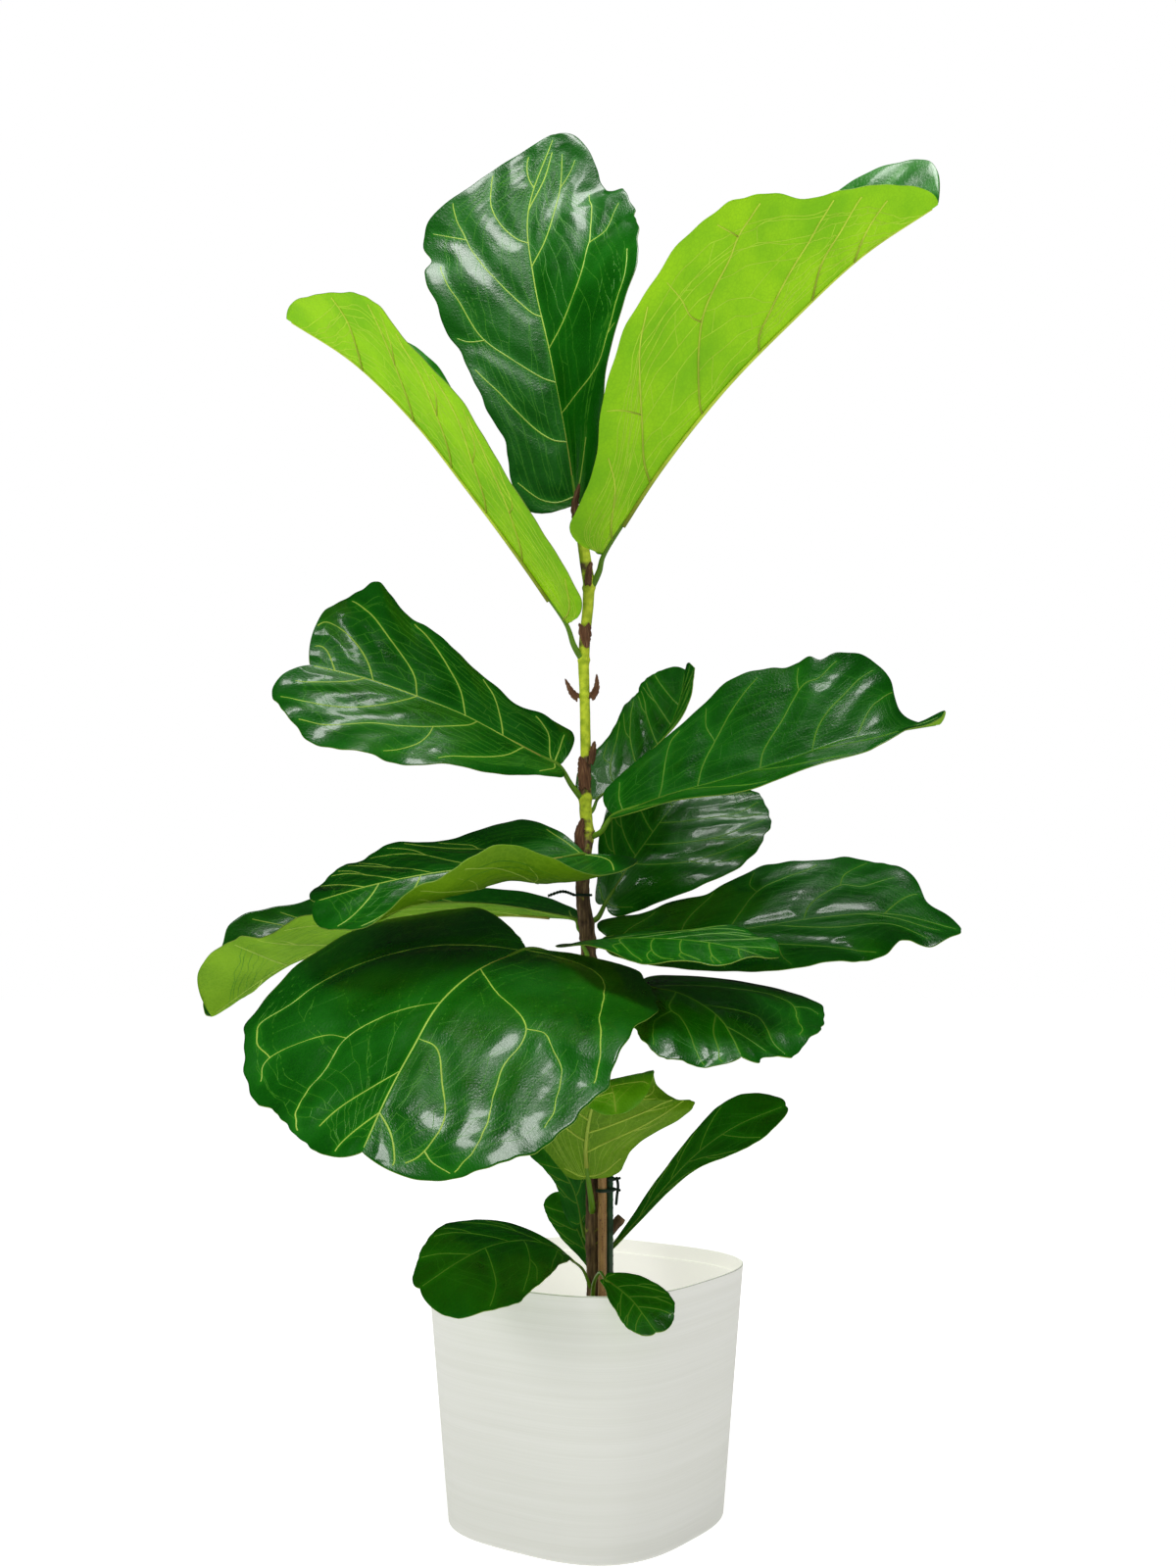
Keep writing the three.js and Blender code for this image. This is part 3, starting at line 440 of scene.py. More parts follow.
# The stem from its top down: x, y and height of its centre, and its radius.
TRUNK = [
    (-6, 0, 893, 4), (-5, 0, 875, 5), (-1, 0, 847, 5.5), (2, 0, 828, 5.5), (1, 0, 806, 5),
    (-2, 0, 778, 5), (-3, 0, 751, 5), (-2, 0, 724, 4.6), (-1, 0, 670, 4.8), (-2, 0, 644, 5.8),
    (-1, 0, 617, 5.5), (1, 0, 599, 5.8), (-3, 0, 572, 6.2), (-4, 0, 550, 6.2), (-3, 0, 533, 6.5),
    (0, 0, 515, 6.8), (3, 0, 467, 7), (5, 0, 415, 7), (6, 0, 354, 7), (6, 0, 294, 7),
    (6, 0, 242, 7.2), (8, 0, 198, 8), (8, 0, 150, 9), (8, 0, 100, 8), (8, 0, 60, 6),
]

# The leaf scars' heights, and the pruned stub's middle line from the stem outwards.
SCAR_HEIGHTS = [824, 757, 724, 630, 600, 564, 518, 504, 486, 462, 232]
STUB = [(8, 0, 232), (19, 2, 243), (31, 3, 257)]
STUB_RADIUS = 5
TRUNK_SIDES = 40
TRUNK_ROWS = 620
STUB_SIDES = 24
STUB_ROWS = 30
SCAR_SWELL = 0.9
STUB_SWELL = 0.8
BARK_ROUGHNESS = [(60, 1.0), (300, 0.55), (590, 0.8), (640, 0.16), (900, 0.1)]


def along(table, share):
    """Values at shares 0 to 1 of a list of evenly spaced entries, on a smooth curve through all of them."""
    entries = np.atleast_2d(np.array(table, float))
    last = len(entries) - 1
    share = np.atleast_1d(np.asarray(share, float))
    if last == 0:
        return np.repeat(entries, len(share), 0)
    place = np.clip(share, 0, 1) * last
    i = np.minimum(place.astype(int), last - 1)
    t = (place - i)[:, None]
    padded = np.vstack([2 * entries[0] - entries[1], entries, 2 * entries[last] - entries[last - 1]])
    a, b, c, d = padded[i], padded[i + 1], padded[i + 2], padded[i + 3]
    square = (2 * a - 5 * b + 4 * c - d) * t ** 2
    cube = (3 * b - a - 3 * c + d) * t ** 3
    return 0.5 * (2 * b + (c - a) * t + square + cube)


def swept_rings(path, radii, sides, shares):
    """Rings square to a smooth path, with a radius at each share of its length."""
    centres = along(path, shares)
    ahead = along(path, np.clip(shares + 1e-3, 0, 1)) - along(path, np.clip(shares - 1e-3, 0, 1))
    ahead /= np.linalg.norm(ahead, axis=1, keepdims=True)
    aside = np.array([0.0, 1.0, 0.0]) if abs(ahead[0][1]) < 0.9 else np.array([1.0, 0.0, 0.0])
    x = np.cross(aside, ahead)
    x /= np.linalg.norm(x, axis=1, keepdims=True)
    y = np.cross(ahead, x)
    angle = np.linspace(0, 2 * np.pi, sides, endpoint=False)
    return [centre + r * (np.outer(np.cos(angle), a) + np.outer(np.sin(angle), b))
            for centre, r, a, b in zip(centres, radii, x, y)]


def trunk_at(z):
    """Centre and radius of the trunk at a height, in millimetres."""
    table = np.array(TRUNK[::-1], float)
    return [np.interp(z, table[:, 2], table[:, c]) for c in (0, 1, 3)]


def bark_depth(point, z):
    """How far the bark stands out at a point, in millimetres: rough below, nearly smooth above."""
    rough = np.interp(z, *zip(*BARK_ROUGHNESS))
    p = Vector(point)
    cracks = noise.noise(Vector((p.x * 0.5, p.y * 0.5, p.z * 0.05)))
    lumps = noise.noise(p * 0.28)
    return rough * (0.9 * cracks + 0.5 * lumps)


trunk_rings = []
for z in np.linspace(TRUNK[-1][2], TRUNK[0][2], TRUNK_ROWS):
    cx, cy, radius = trunk_at(z)
    nearest = min(SCAR_HEIGHTS, key=lambda scar: abs(scar - z))
    swell = SCAR_SWELL * math.exp(-((nearest - z) / 2.2) ** 2)
    ring = []
    for k in range(TRUNK_SIDES):
        angle = 2 * math.pi * k / TRUNK_SIDES
        place = (cx + radius * math.cos(angle), cy + radius * math.sin(angle), z)
        r = radius + swell + bark_depth(place, z)
        ring.append((cx + r * math.cos(angle), cy + r * math.sin(angle), z))
    trunk_rings.append(np.array(ring) * MM)
trunk_points, trunk_faces = skin(trunk_rings)
stub_shares = np.linspace(0, 1, STUB_ROWS)
stub_radii = [STUB_RADIUS - s + STUB_SWELL * math.exp(-((s - 0.9) / 0.08) ** 2) for s in stub_shares]
stub_rings = swept_rings(STUB, stub_radii, STUB_SIDES, stub_shares)
for ring in stub_rings:
    for p in ring:
        p += 0.6 * noise.noise(Vector(p) * 0.4)
stub_points, stub_faces = skin([ring * MM for ring in stub_rings])
stub_faces = [tuple(i + len(trunk_points) for i in face) for face in stub_faces]


def attribute_of(tree, name, output="Fac"):
    """A value that the piece's mesh carries at each point."""
    return add_node(tree, "ShaderNodeAttribute", attribute_name=name).outputs[output]


def sum_of(tree, first, second):
    """Two values added."""
    return add_node(tree, "ShaderNodeMath", [(0, first), (1, second)], operation="ADD").outputs[0]


def rise_between(tree, value, low, high):
    """How far a value has come from low to high, from 0 to 1."""
    made = add_node(tree, "ShaderNodeMapRange", [("Value", value)])
    made.inputs["From Min"].default_value = low
    made.inputs["From Max"].default_value = high
    return made.outputs[0]


bark_finish, bark_tree, bark_shader = new_finish("fig_bark", 0.75, Specular_IOR_Level=0.35)
bark_place = object_place(bark_tree)
bark_grain = cloudy(bark_tree, stretched(bark_tree, bark_place, (420, 420, 60)), 1.0, 6.0)
bark_spots = cloudy(bark_tree, bark_place, 160, 4.0)
bark_brown = ramp(bark_tree, bark_grain, (0.3, (0.03, 0.015, 0.007)), (0.55, (0.12, 0.07, 0.03)),
                  (0.75, (0.26, 0.17, 0.08)))
bark_lime = ramp(bark_tree, bark_spots, (0.35, (0.30, 0.42, 0.01)), (0.65, (0.55, 0.66, 0.03)))
patchy_green = sum_of(bark_tree, attribute_of(bark_tree, "greenness"), bark_spots)
green_share = rise_between(bark_tree, patchy_green, 0.85, 1.15)
paint(bark_tree, bark_shader, blend(bark_tree, green_share, bark_brown, bark_lime))
bump(bark_tree, bark_shader, bark_grain, 0.7 * MM, 0.8)

# How green the stem is at each height: 0 is brown bark and 1 is lime green.
GREEN_BY_HEIGHT = [
    (60, 0.05), (250, 0.24), (330, 0.22), (560, 0.22), (600, 0.5), (616, 0.75), (632, 0.75),
    (636, 0.35), (668, 0.4), (672, 1), (700, 1), (720, 1), (726, 0.8), (735, 1), (765, 1),
    (770, 0.5), (786, 0.5), (790, 1), (832, 1), (838, 0.4), (846, 0.5), (850, 0.8), (872, 0.8),
    (893, 0.2),
]
stem_points = np.concatenate([trunk_points, stub_points])
trunk = new_piece("fig_trunk", stem_points, trunk_faces + stub_faces, [bark_finish])
green = np.interp(stem_points[:, 2] / MM, *zip(*GREEN_BY_HEIGHT))
green[len(trunk_points):] = 0
trunk.data.attributes.new("greenness", "FLOAT", "POINT").data.foreach_set("value", green)
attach(trunk, "root")
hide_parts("trunk")


# ---- The supports ----
# A bamboo cane and a shorter plastic-coated stake stand in the soil beside the trunk, clipped together.
# A wire twist tie is closed round the trunk higher up.

# Where each rod stands, the heights of its ends, its radius, and the cane's joints.
CANE = dict(x=13.5, y=-13, bottom=40, top=440, radius=4, joints=(120, 262, 395))
STAKE = dict(x=20.2, y=-7, bottom=60, top=335, radius=3.4)
ROD_SIDES = 32
CANE_ROWS = 200
STAKE_ROWS = 320


def rod(size, rows, radius_at):
    """Points and faces of an upright rod, with a radius at each height and way round."""
    angle = np.linspace(0, 2 * np.pi, ROD_SIDES, endpoint=False)
    rings = []
    for z in np.linspace(size["bottom"], size["top"], rows):
        x = size["x"] + radius_at(z, angle) * np.cos(angle)
        y = size["y"] + radius_at(z, angle) * np.sin(angle)
        rings.append(np.stack([x, y, np.full(ROD_SIDES, z)], 1) * MM)
    return skin(rings)


def cane_radius(z, angle):
    """The cane's radius: a raised ring with a groove above it at each joint, and a softened top."""
    swell = sum(0.55 * math.exp(-((z - joint) / 1.3) ** 2) - 0.2 * math.exp(-((z - joint - 2.5) / 1) ** 2)
                for joint in CANE["joints"])
    end = min(1.0, (CANE["top"] - z) / 0.8 + 0.75)
    return (CANE["radius"] - 0.1 + swell + 0.08 * np.sin(3 * angle + 1)) * end


def stake_radius(z, angle):
    """The stake's radius: rows of small nubs, and a rounded top."""
    nubs = np.clip(np.sin(angle * 4 + z * 0.9), 0, 1) ** 2 * max(0.0, math.sin(z * 0.9)) ** 2
    end = math.sqrt(max(0.05, min(1.0, (STAKE["top"] - z) / 3)))
    return (STAKE["radius"] - 0.35 + 0.3 * nubs) * end


cane_finish, cane_tree, cane_shader = new_finish("speckled_bamboo", 0.5)
cane_place = object_place(cane_tree)
cane_grain = cloudy(cane_tree, stretched(cane_tree, cane_place, (900, 900, 60)), 1.0, 4.0)
cane_specks = cloudy(cane_tree, cane_place, 700, 2.0)
cane_tan = ramp(cane_tree, cane_grain, (0.3, (0.22, 0.10, 0.025)), (0.7, (0.45, 0.25, 0.08)))
cane_dots = ramp(cane_tree, cane_specks, (0.6, (0, 0, 0)), (0.68, (1, 1, 1)))
paint(cane_tree, cane_shader, blend(cane_tree, cane_dots, cane_tan, (0.12, 0.05, 0.02)))
bump(cane_tree, cane_shader, cane_grain, 0.15 * MM)
cane = new_piece("cane", *rod(CANE, CANE_ROWS, cane_radius), [cane_finish])
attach(cane, "root")
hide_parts("bamboo_cane")

coat_finish, coat_tree, coat_shader = new_finish("green_plastic_coat", 0.38)
coat_tone = cloudy(coat_tree, object_place(coat_tree), 90, 3.0)
coat_colour = ramp(coat_tree, coat_tone, (0.3, (0.006, 0.035, 0.012)), (0.7, (0.02, 0.085, 0.03)))
paint(coat_tree, coat_shader, coat_colour)
stake = new_piece("coated_stake", *rod(STAKE, STAKE_ROWS, stake_radius), [coat_finish])
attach(stake, "root")
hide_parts("plant_stake")

tie_finish, tie_tree, tie_shader = new_finish("dark_tie_plastic", 0.35)
tie_tone = cloudy(tie_tree, object_place(tie_tree), 200)
tie_colour = ramp(tie_tree, tie_tone, (0.3, (0.003, 0.012, 0.007)), (0.7, (0.012, 0.035, 0.02)))
paint(tie_tree, tie_shader, tie_colour)


def band_rings(stems, level, height=3.0, wall=1.4, gap=0.4, sides=64):
    """Rings, round the cross-section, of a rounded band drawn tight round upright stems."""
    angle = np.linspace(0, 2 * np.pi, sides, endpoint=False)
    way = np.stack([np.cos(angle), np.sin(angle)], 1)
    reach = np.array([way @ np.array([s["x"], s["y"]]) + s["radius"] for s in stems])
    chosen = [stems[i] for i in reach.argmax(0)]
    rings = []
    for turn in np.radians(np.arange(0, 360, 30)):
        out = gap + wall / 2 - math.copysign(abs(math.cos(turn)) ** 0.6, math.cos(turn)) * wall / 2
        up = -math.copysign(abs(math.sin(turn)) ** 0.6, math.sin(turn)) * height / 2
        ring = []
        for s, w in zip(chosen, way):
            from_stem = s["radius"] + out
            ring.append((s["x"] + from_stem * w[0], s["y"] + from_stem * w[1], level + up))
        rings.append(np.array(ring) * MM)
    return rings


def join_forms(forms):
    """One set of points and faces from several."""
    points, faces = [], []
    for form_points, form_faces in forms:
        start = sum(len(p) for p in points)
        points.append(form_points)
        faces += [tuple(i + start for i in face) for face in form_faces]
    return np.concatenate(points), faces


def rounded_bar(path, radius, sides=12, steps=40):
    """Points and faces of a thin bar with rounded ends along a smooth path."""
    shares = np.linspace(0, 1, steps)
    ends = np.minimum(1, np.sqrt(np.clip(np.minimum(shares, 1 - shares) * steps / 2 + 0.15, 0, 1)))
    return skin([ring * MM for ring in swept_rings(path, radius * ends, sides, shares)])


CLIP_LEVEL = 283
CLIP_COLLAR_LEVEL = 292
CLIP_TAB = [(26.2, -7, 294), (27.6, -7, 286), (26.6, -7, 277), (25.8, -7, 269)]
CLIP_TAB_RADIUS = 1.3
CLIP_ARMS = [[(23, -7, 283), (26, -7.2, 283), (30, -7.4, 282)],
             [(23, -7, 292), (26, -7.2, 292), (30, -7.4, 293)]]
CLIP_ARM_RADIUS = 1.2
clip_forms = [skin(band_rings([CANE, STAKE], CLIP_LEVEL), looped=True),
              skin(band_rings([STAKE], CLIP_COLLAR_LEVEL), looped=True),
              rounded_bar(CLIP_TAB, CLIP_TAB_RADIUS)]
clip_forms += [rounded_bar(arm, CLIP_ARM_RADIUS) for arm in CLIP_ARMS]
clip = new_piece("stake_and_cane_clip", *join_forms(clip_forms), [tie_finish])
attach(clip, "root")
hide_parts("stake_clip")

TWIST_TIE_STEM = dict(x=-3.5, y=0, radius=6.5)
TWIST_TIE_LEVEL = 543
TWIST_TIE_TAIL = [(-11, -3, 543), (-22, -8, 546), (-35, -11, 542)]
TWIST_TIE_WIRE = 0.75
TWIST_TIE_TURN = 30
TAIL_POINTS = 60

# The tie's two wires are twisted together beyond the loop.
tail_shares = np.linspace(0, 1, TAIL_POINTS)
tail_line = along(TWIST_TIE_TAIL, tail_shares)
tie_forms = [skin(band_rings([TWIST_TIE_STEM], TWIST_TIE_LEVEL, 2.2, 1.5), looped=True)]
for start in (0, math.pi):
    turn = TWIST_TIE_TURN * tail_shares + start
    aside = np.stack([np.zeros(TAIL_POINTS), np.cos(turn), np.sin(turn)], 1)
    tie_forms.append(rounded_bar(tail_line + TWIST_TIE_WIRE * aside, TWIST_TIE_WIRE, 8, 120))
twist_tie = new_piece("wire_twist_tie", *join_forms(tie_forms), [tie_finish])
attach(twist_tie, "root")
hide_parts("twist_tie")


# ---- The leaves ----
# Fiddle-shaped blades, leathery and glossy above and matt below, each on its own short stalk. The blade
# puffs up a little between its veins, and runs in thin irregular waves at its margin.

# Each blade: the points of its midrib, the way it faces, and along it, for its left and right sides, the
# width, and in degrees how far the rows slant towards the tip, rise from the midrib and curl at the margin.
LEAVES = {
    "leaf_crown": dict(
        finish="mature", stalk_radius=3, stalk=[(-3, 2, 868), (-7, 12, 884)],
        rib=[(-10, 14, 906), (-20, 20, 975), (-35, 32, 1056), (-51, 48, 1134), (-57, 66, 1210),
             (-32, 85, 1296)], face=[(0.1, -1, 0.1), (0, -1, 0.25), (0, -1, 0.35)],
        half=[(48, 14), (68, 44), (74, 90), (90, 118), (105, 112), (58, 74), (22, 58)],
        sweep=[(-22, -30), (-5, 5), (0, 20), (6, 24), (7, 26), (4, 26), (-5, 40)],
        lift=[(5, 30), (5, 50), (5, 20), (5, 0), (0, -10)], wave=[0, 2, 4, 3], waves=4),
    "leaf_top_right": dict(
        finish="young", stalk_radius=3.4, stalk=[(4, -1, 824), (11, -4, 838)],
        rib=[(16, -8, 854), (65, -25, 927), (123, -45, 996), (182, -65, 1052), (242, -85, 1103),
             (306, -105, 1141)], face=[(-0.7, 0, 0.7)],
        half=[(20, 42), (60, 54), (95, 108), (115, 131), (94, 92), (96, 56), (104, 34)],
        sweep=[(-40, -24), (-5, -5), (12, 12), (22, 22), (26, 26), (30, 26), (35, 26)],
        lift=[(45, 70), (50, 62), (50, 58), (55, 50)], wave=[0, 3, 5, 6], waves=3),
    "leaf_top_left": dict(
        finish="young", stalk_radius=3.2, stalk=[(-4, -1, 757), (-12, -6, 770)],
        rib=[(-19, -10, 789), (-63, -20, 851), (-109, -30, 911), (-155, -38, 968), (-209, -45, 1020),
             (-270, -50, 1059)], face=[(0.74, 0, 0.67)],
        half=[(38, 14), (56, 45), (73, 66), (92, 88), (102, 98), (74, 66), (58, 40)],
        sweep=[(-15, -30), (-3, -18), (12, 12), (22, 22), (28, 28), (20, 30), (10, 30)],
        lift=[(28, 40), (22, 38), (22, 38), (25, 30)], wave=[0, 3, 4, 6], waves=3),
    "leaf_middle_left": dict(
        finish="mature", stalk_radius=3, stalk=[(-3, -1, 628), (-14, -7, 642)],
        rib=[(-25, -12, 659), (-67, -25, 680), (-108, -38, 701), (-150, -48, 717), (-195, -55, 732),
             (-243, -60, 743)], face=[(0.2, -0.75, 0.6)],
        half=[(16, 26), (36, 44), (73, 47), (98, 72), (104, 100), (84, 92), (66, 66)],
        sweep=[(-58, -25), (-18, -24), (12, 12), (22, 22), (28, 24), (40, 18), (60, 22)],
        lift=[(10, 10), (5, 15), (0, 15), (-5, 10)], wave=[2, 4, 6, 8], waves=4),
    "leaf_middle_right": dict(
        finish="mature", stalk_radius=3, stalk=[(5, -1, 596), (13, -9, 600)],
        rib=[(24, -14, 614), (72, -28, 631), (125, -40, 645), (178, -48, 661), (228, -50, 678),
             (272, -46, 686), (316, -24, 695)],
        face=[(0, -0.3, 0.95), (0, -0.3, 0.95), (0, -0.3, 0.95), (0, -0.2, 0.95), (-0.2, 0.5, 0.8)],
        half=[(28, 14), (54, 46), (95, 72), (100, 84), (92, 66), (40, 44), (14, 30)],
        sweep=[(-35, -35), (-10, -10), (12, 12), (22, 22), (28, 28), (30, 30), (30, 30)],
        lift=[(45, 5), (45, 2), (45, 5), (40, 8)], wave=[2, 3, 4, 5], waves=4),
    "leaf_middle_back": dict(
        finish="mature", stalk_radius=2.4, stalk=[(1, 2, 616), (6, 14, 622)],
        rib=[(10, 22, 632), (33, 34, 651), (56, 46, 673), (78, 56, 702), (89, 64, 731), (94, 70, 759)],
        face=[(-0.5, -0.8, 0.3)],
        half=[(18, 10), (40, 22), (47, 38), (58, 51), (52, 50), (38, 36), (28, 24)],
        lift=[(10, 50), (10, 50), (10, 50)], wave=[1, 2, 3], waves=3),
    "leaf_low_right_back": dict(
        finish="mature", stalk_radius=3, stalk=[(1, 2, 518), (10, 9, 523)],
        rib=[(17, 14, 536), (37, 36, 568), (56, 60, 595), (78, 84, 625), (102, 105, 653), (131, 122, 675)],
        face=[(0, -0.8, 0.6)], half=[(12, 18), (24, 48), (46, 92), (62, 104), (64, 84), (50, 48), (40, 36)],
        lift=[(5, 5), (5, 5), (5, 5)], wave=[1, 2, 3], waves=4),
    "leaf_curled_left": dict(
        finish="mature", stalk_radius=3, stalk=[(-3, -2, 564), (-2, -11, 570)],
        rib=[(-2, -16, 579), (-51, -45, 571), (-96, -68, 565), (-141, -85, 558), (-186, -95, 548),
             (-229, -100, 535)],
        face=[(0, -0.75, 0.65), (0, -0.35, 0.9), (0, -0.35, 0.9), (0, -0.35, 0.9), (0, -0.35, 0.9)],
        half=[(54, 8), (72, 70), (92, 74), (104, 88), (84, 76), (58, 58), (42, 40)],
        sweep=[(-72, -10), (-18, -15), (12, 12), (22, 22), (28, 28), (30, 30), (30, 30)],
        lift=[(18, 12), (-30, 8), (-34, 5), (-34, 0), (-28, -2), (-20, -3), (-14, -3)],
        curl=[(0, 0), (80, 0), (124, 0), (100, 0), (50, 0), (10, 0), (0, 0)], wave=[2, 3, 3, 5], waves=4),
    "leaf_far_left": dict(
        finish="mature", stalk_radius=3, stalk=[(-1, 2, 507), (-7, 10, 513)],
        rib=[(-12, 14, 522), (-81, 45, 526), (-155, 60, 518), (-224, 60, 502), (-285, 45, 476),
             (-341, 20, 434)], face=[(0, 0, 1)],
        half=[(7, 14), (34, 56), (60, 84), (84, 108), (92, 114), (84, 80), (82, 38)],
        sweep=[(-58, -58), (-18, -18), (12, 12), (22, 22), (28, 28), (14, 30), (4, 30)],
        lift=[(10, 0), (10, 0), (9, 0), (10, -5), (17, -14), (30, -38), (76, -60)],
        curl=[(10, 20), (10, 50), (15, 100), (10, 150)], wave=[2, 3, 5, 7], waves=4),
    "leaf_far_right": dict(
        finish="mature", stalk_radius=3, stalk=[(5, 1, 496), (12, 3, 499)],
        rib=[(20, 5, 505), (85, 20, 506), (149, 30, 513), (216, 35, 523), (280, 30, 526), (341, 20, 511)],
        face=[(0, -0.4, 0.9)], half=[(28, 26), (42, 50), (72, 64), (86, 78), (92, 62), (62, 36), (18, 20)],
        sweep=[(-40, -40), (-24, -18), (4, 10), (14, 20), (18, 24), (6, 24), (20, 24)],
        lift=[(10, -10), (15, -10), (15, -10), (10, -10)], wave=[2, 3, 5, 8], waves=4),
    "leaf_front_broad": dict(
        finish="mature", stalk_radius=3.6, stalk=[(2, -2, 462), (-16, -26, 480), (-36, -46, 492)],
        rib=[(-52, -60, 495), (-88, -125, 479), (-115, -190, 454), (-132, -245, 420), (-145, -290, 390),
             (-158, -325, 355)], face=[(-0.1, -0.4, 0.9), (-0.1, -0.5, 0.86)],
        half=[(92, 80), (142, 145), (164, 162), (158, 142), (132, 98), (92, 64), (68, 44)],
        sweep=[(-50, -40), (-18, -18), (12, 12), (22, 22), (28, 28), (30, 30), (30, 30)],
        lift=[(-16, 20), (-10, 4), (-4, -4), (-7, -8), (-10, -10), (-10, -10), (-10, -10)],
        wave=[1, 2, 3, 4], waves=4),
    "leaf_front_level": dict(
        finish="mature", stalk_radius=2.6, stalk=[(1, -2, 486), (-1, -13, 493)],
        rib=[(-4, -22, 500), (26, -68, 504), (58, -108, 504), (89, -140, 502), (118, -165, 497),
             (142, -185, 489)], face=[(0, -0.1, 1)],
        half=[(14, 30), (50, 40), (60, 56), (66, 64), (52, 52), (36, 36), (24, 24)],
        lift=[(5, 0), (5, -6), (5, -14), (0, 10)], wave=[2, 3, 4, 5], waves=3),
    "leaf_lower_right": dict(
        finish="mature", stalk_radius=2.8, stalk=[(5, -2, 444), (22, -24, 456), (38, -46, 462)],
        rib=[(48, -60, 463), (75, -100, 459), (93, -135, 451), (107, -165, 440), (115, -188, 426),
             (120, -205, 413)], face=[(0.1, -0.4, 0.9)],
        half=[(66, 26), (106, 46), (112, 66), (90, 78), (60, 62), (38, 38), (26, 26)],
        lift=[(-5, -4), (-8, -8), (-15, -15)], wave=[1, 2, 4, 6], waves=4),
    "leaf_pale": dict(
        finish="pale", stalk_radius=3.4, stalk=[(5, -3, 262), (4, -17, 274)],
        rib=[(1, -22, 295), (-1, -26, 318), (1, -30, 340), (6, -36, 362), (15, -48, 381), (22, -64, 374),
             (25, -70, 355)],
        face=[(0.1, 0.9, 0.4), (0, 0.9, 0.3), (0, 0.9, 0.3), (0, 0.8, 0.6), (0, 0.1, 1), (0, -0.7, 0.7),
              (0, -0.9, 0.3)], half=[(24, 12), (46, 32), (93, 58), (76, 66), (50, 50), (36, 36), (24, 24)],
        sweep=[(-10, -20), (8, -5), (18, 12), (14, 16), (0, 0), (0, 0), (10, 10)],
        lift=[(0, 0), (5, 5), (5, 5)], wave=[1, 2, 3], waves=3),
    "leaf_base_back": dict(
        finish="mature", small=True, stalk_radius=2, stalk=[(4, 2, 232), (-2, 7, 240)],
        rib=[(-5, 8, 252), (-8, 9, 268), (-13, 10, 283), (-22, 12, 297), (-34, 16, 311), (-50, 22, 326)],
        face=[(-0.3, -1, 0.2)], half=[(10, 3), (14, 8), (14, 16), (13, 22), (14, 24), (16, 22), (12, 14)],
        lift=[(5, 5)], wave=[0, 1, 2], waves=2),
    "leaf_base_dark": dict(
        finish="mature", small=True, stalk_radius=2, stalk=[(6, 4, 196), (5, 10, 203)],
        rib=[(3, 14, 212), (-2, 18, 228), (-8, 22, 242), (-14, 26, 255), (-20, 30, 266), (-26, 34, 275)],
        face=[(0, -1, 0.2)], half=[(3, 3), (8, 8), (16, 14), (21, 18), (22, 19), (18, 16), (13, 12)],
        lift=[(0, 0)], wave=[0, 1], waves=2),
    "leaf_base_right": dict(
        finish="mature", small=True, stalk_radius=2, stalk=[(8, 2, 200), (17, 3, 207)],
        rib=[(20, 6, 227), (45, 8, 254), (71, 9, 284), (100, 10, 313), (135, 8, 337), (178, 5, 355)],
        face=[(-0.5, -0.6, 0.6)], half=[(3, 3), (6, 3), (11, 6), (16, 12), (28, 30), (30, 26), (20, 20)],
        lift=[(10, 0), (10, -5), (10, -5)], wave=[0, 1, 3], waves=3),
    "leaf_base_left": dict(
        finish="mature", small=True, stalk_radius=2, stalk=[(5, -1, 192), (1, -8, 204)],
        rib=[(-4, -12, 215), (-26, -45, 238), (-51, -80, 251), (-78, -115, 253), (-104, -145, 245),
             (-132, -165, 229)], face=[(0, -0.5, 0.85)],
        half=[(4, 5), (12, 14), (40, 30), (66, 46), (76, 44), (56, 30), (36, 20)],
        lift=[(5, 5), (0, 0), (-5, -5)], wave=[0, 1, 2, 2], waves=3),
    "leaf_base_front": dict(
        finish="mature", small=True, stalk_radius=2, stalk=[(5, -4, 184), (6, -40, 208), (11, -85, 226)],
        rib=[(15, -125, 228), (26, -138, 223), (37, -152, 216), (45, -165, 208), (54, -178, 198)],
        face=[(0, -0.5, 0.85)], half=[(8, 6), (18, 8), (28, 16), (31, 20), (27, 20), (20, 16), (14, 12)],
        lift=[(0, 0)], wave=[0, 1, 1], waves=2),
}

# How far the rows of a plain leaf slant, and the margin's and the shell's own sizes.
SWEEP = [(-58, -58), (-18, -18), (12, 12), (22, 22), (28, 28), (30, 30), (30, 30)]
TIP_ROUNDING = 0.22
FOOT_ROUNDING = 0.055
SCALLOP = 0.02
BLADE_THICKNESS = 0.8
BLADE_GRID = (150, 93)
SMALL_BLADE_GRID = (70, 41)


def unit(vectors):
    """The same directions at a length of one."""
    return vectors / np.maximum(np.linalg.norm(vectors, axis=-1, keepdims=True), 1e-9)


def margin_wobble(leaf, u, side):
    """How much wider or narrower the row is than a smooth one: small scallops, and its own lobes."""
    turns = leaf["seed"] * 1.7 + 2.1 * side
    wider = leaf.get("scallop", SCALLOP) * (np.sin(2 * np.pi * 5.3 * u + turns) * 0.5
                                            + np.sin(2 * np.pi * 9.7 * u + 2.3 * turns) * 0.35
                                            + np.sin(2 * np.pi * 17.9 * u + 4.1 * turns) * 0.25)
    for lobe_side, middle, spread, amount in leaf.get("lobes", []):
        wider = wider + np.where(side == lobe_side, amount * np.exp(-((u - middle) / spread) ** 2), 0)
    return wider


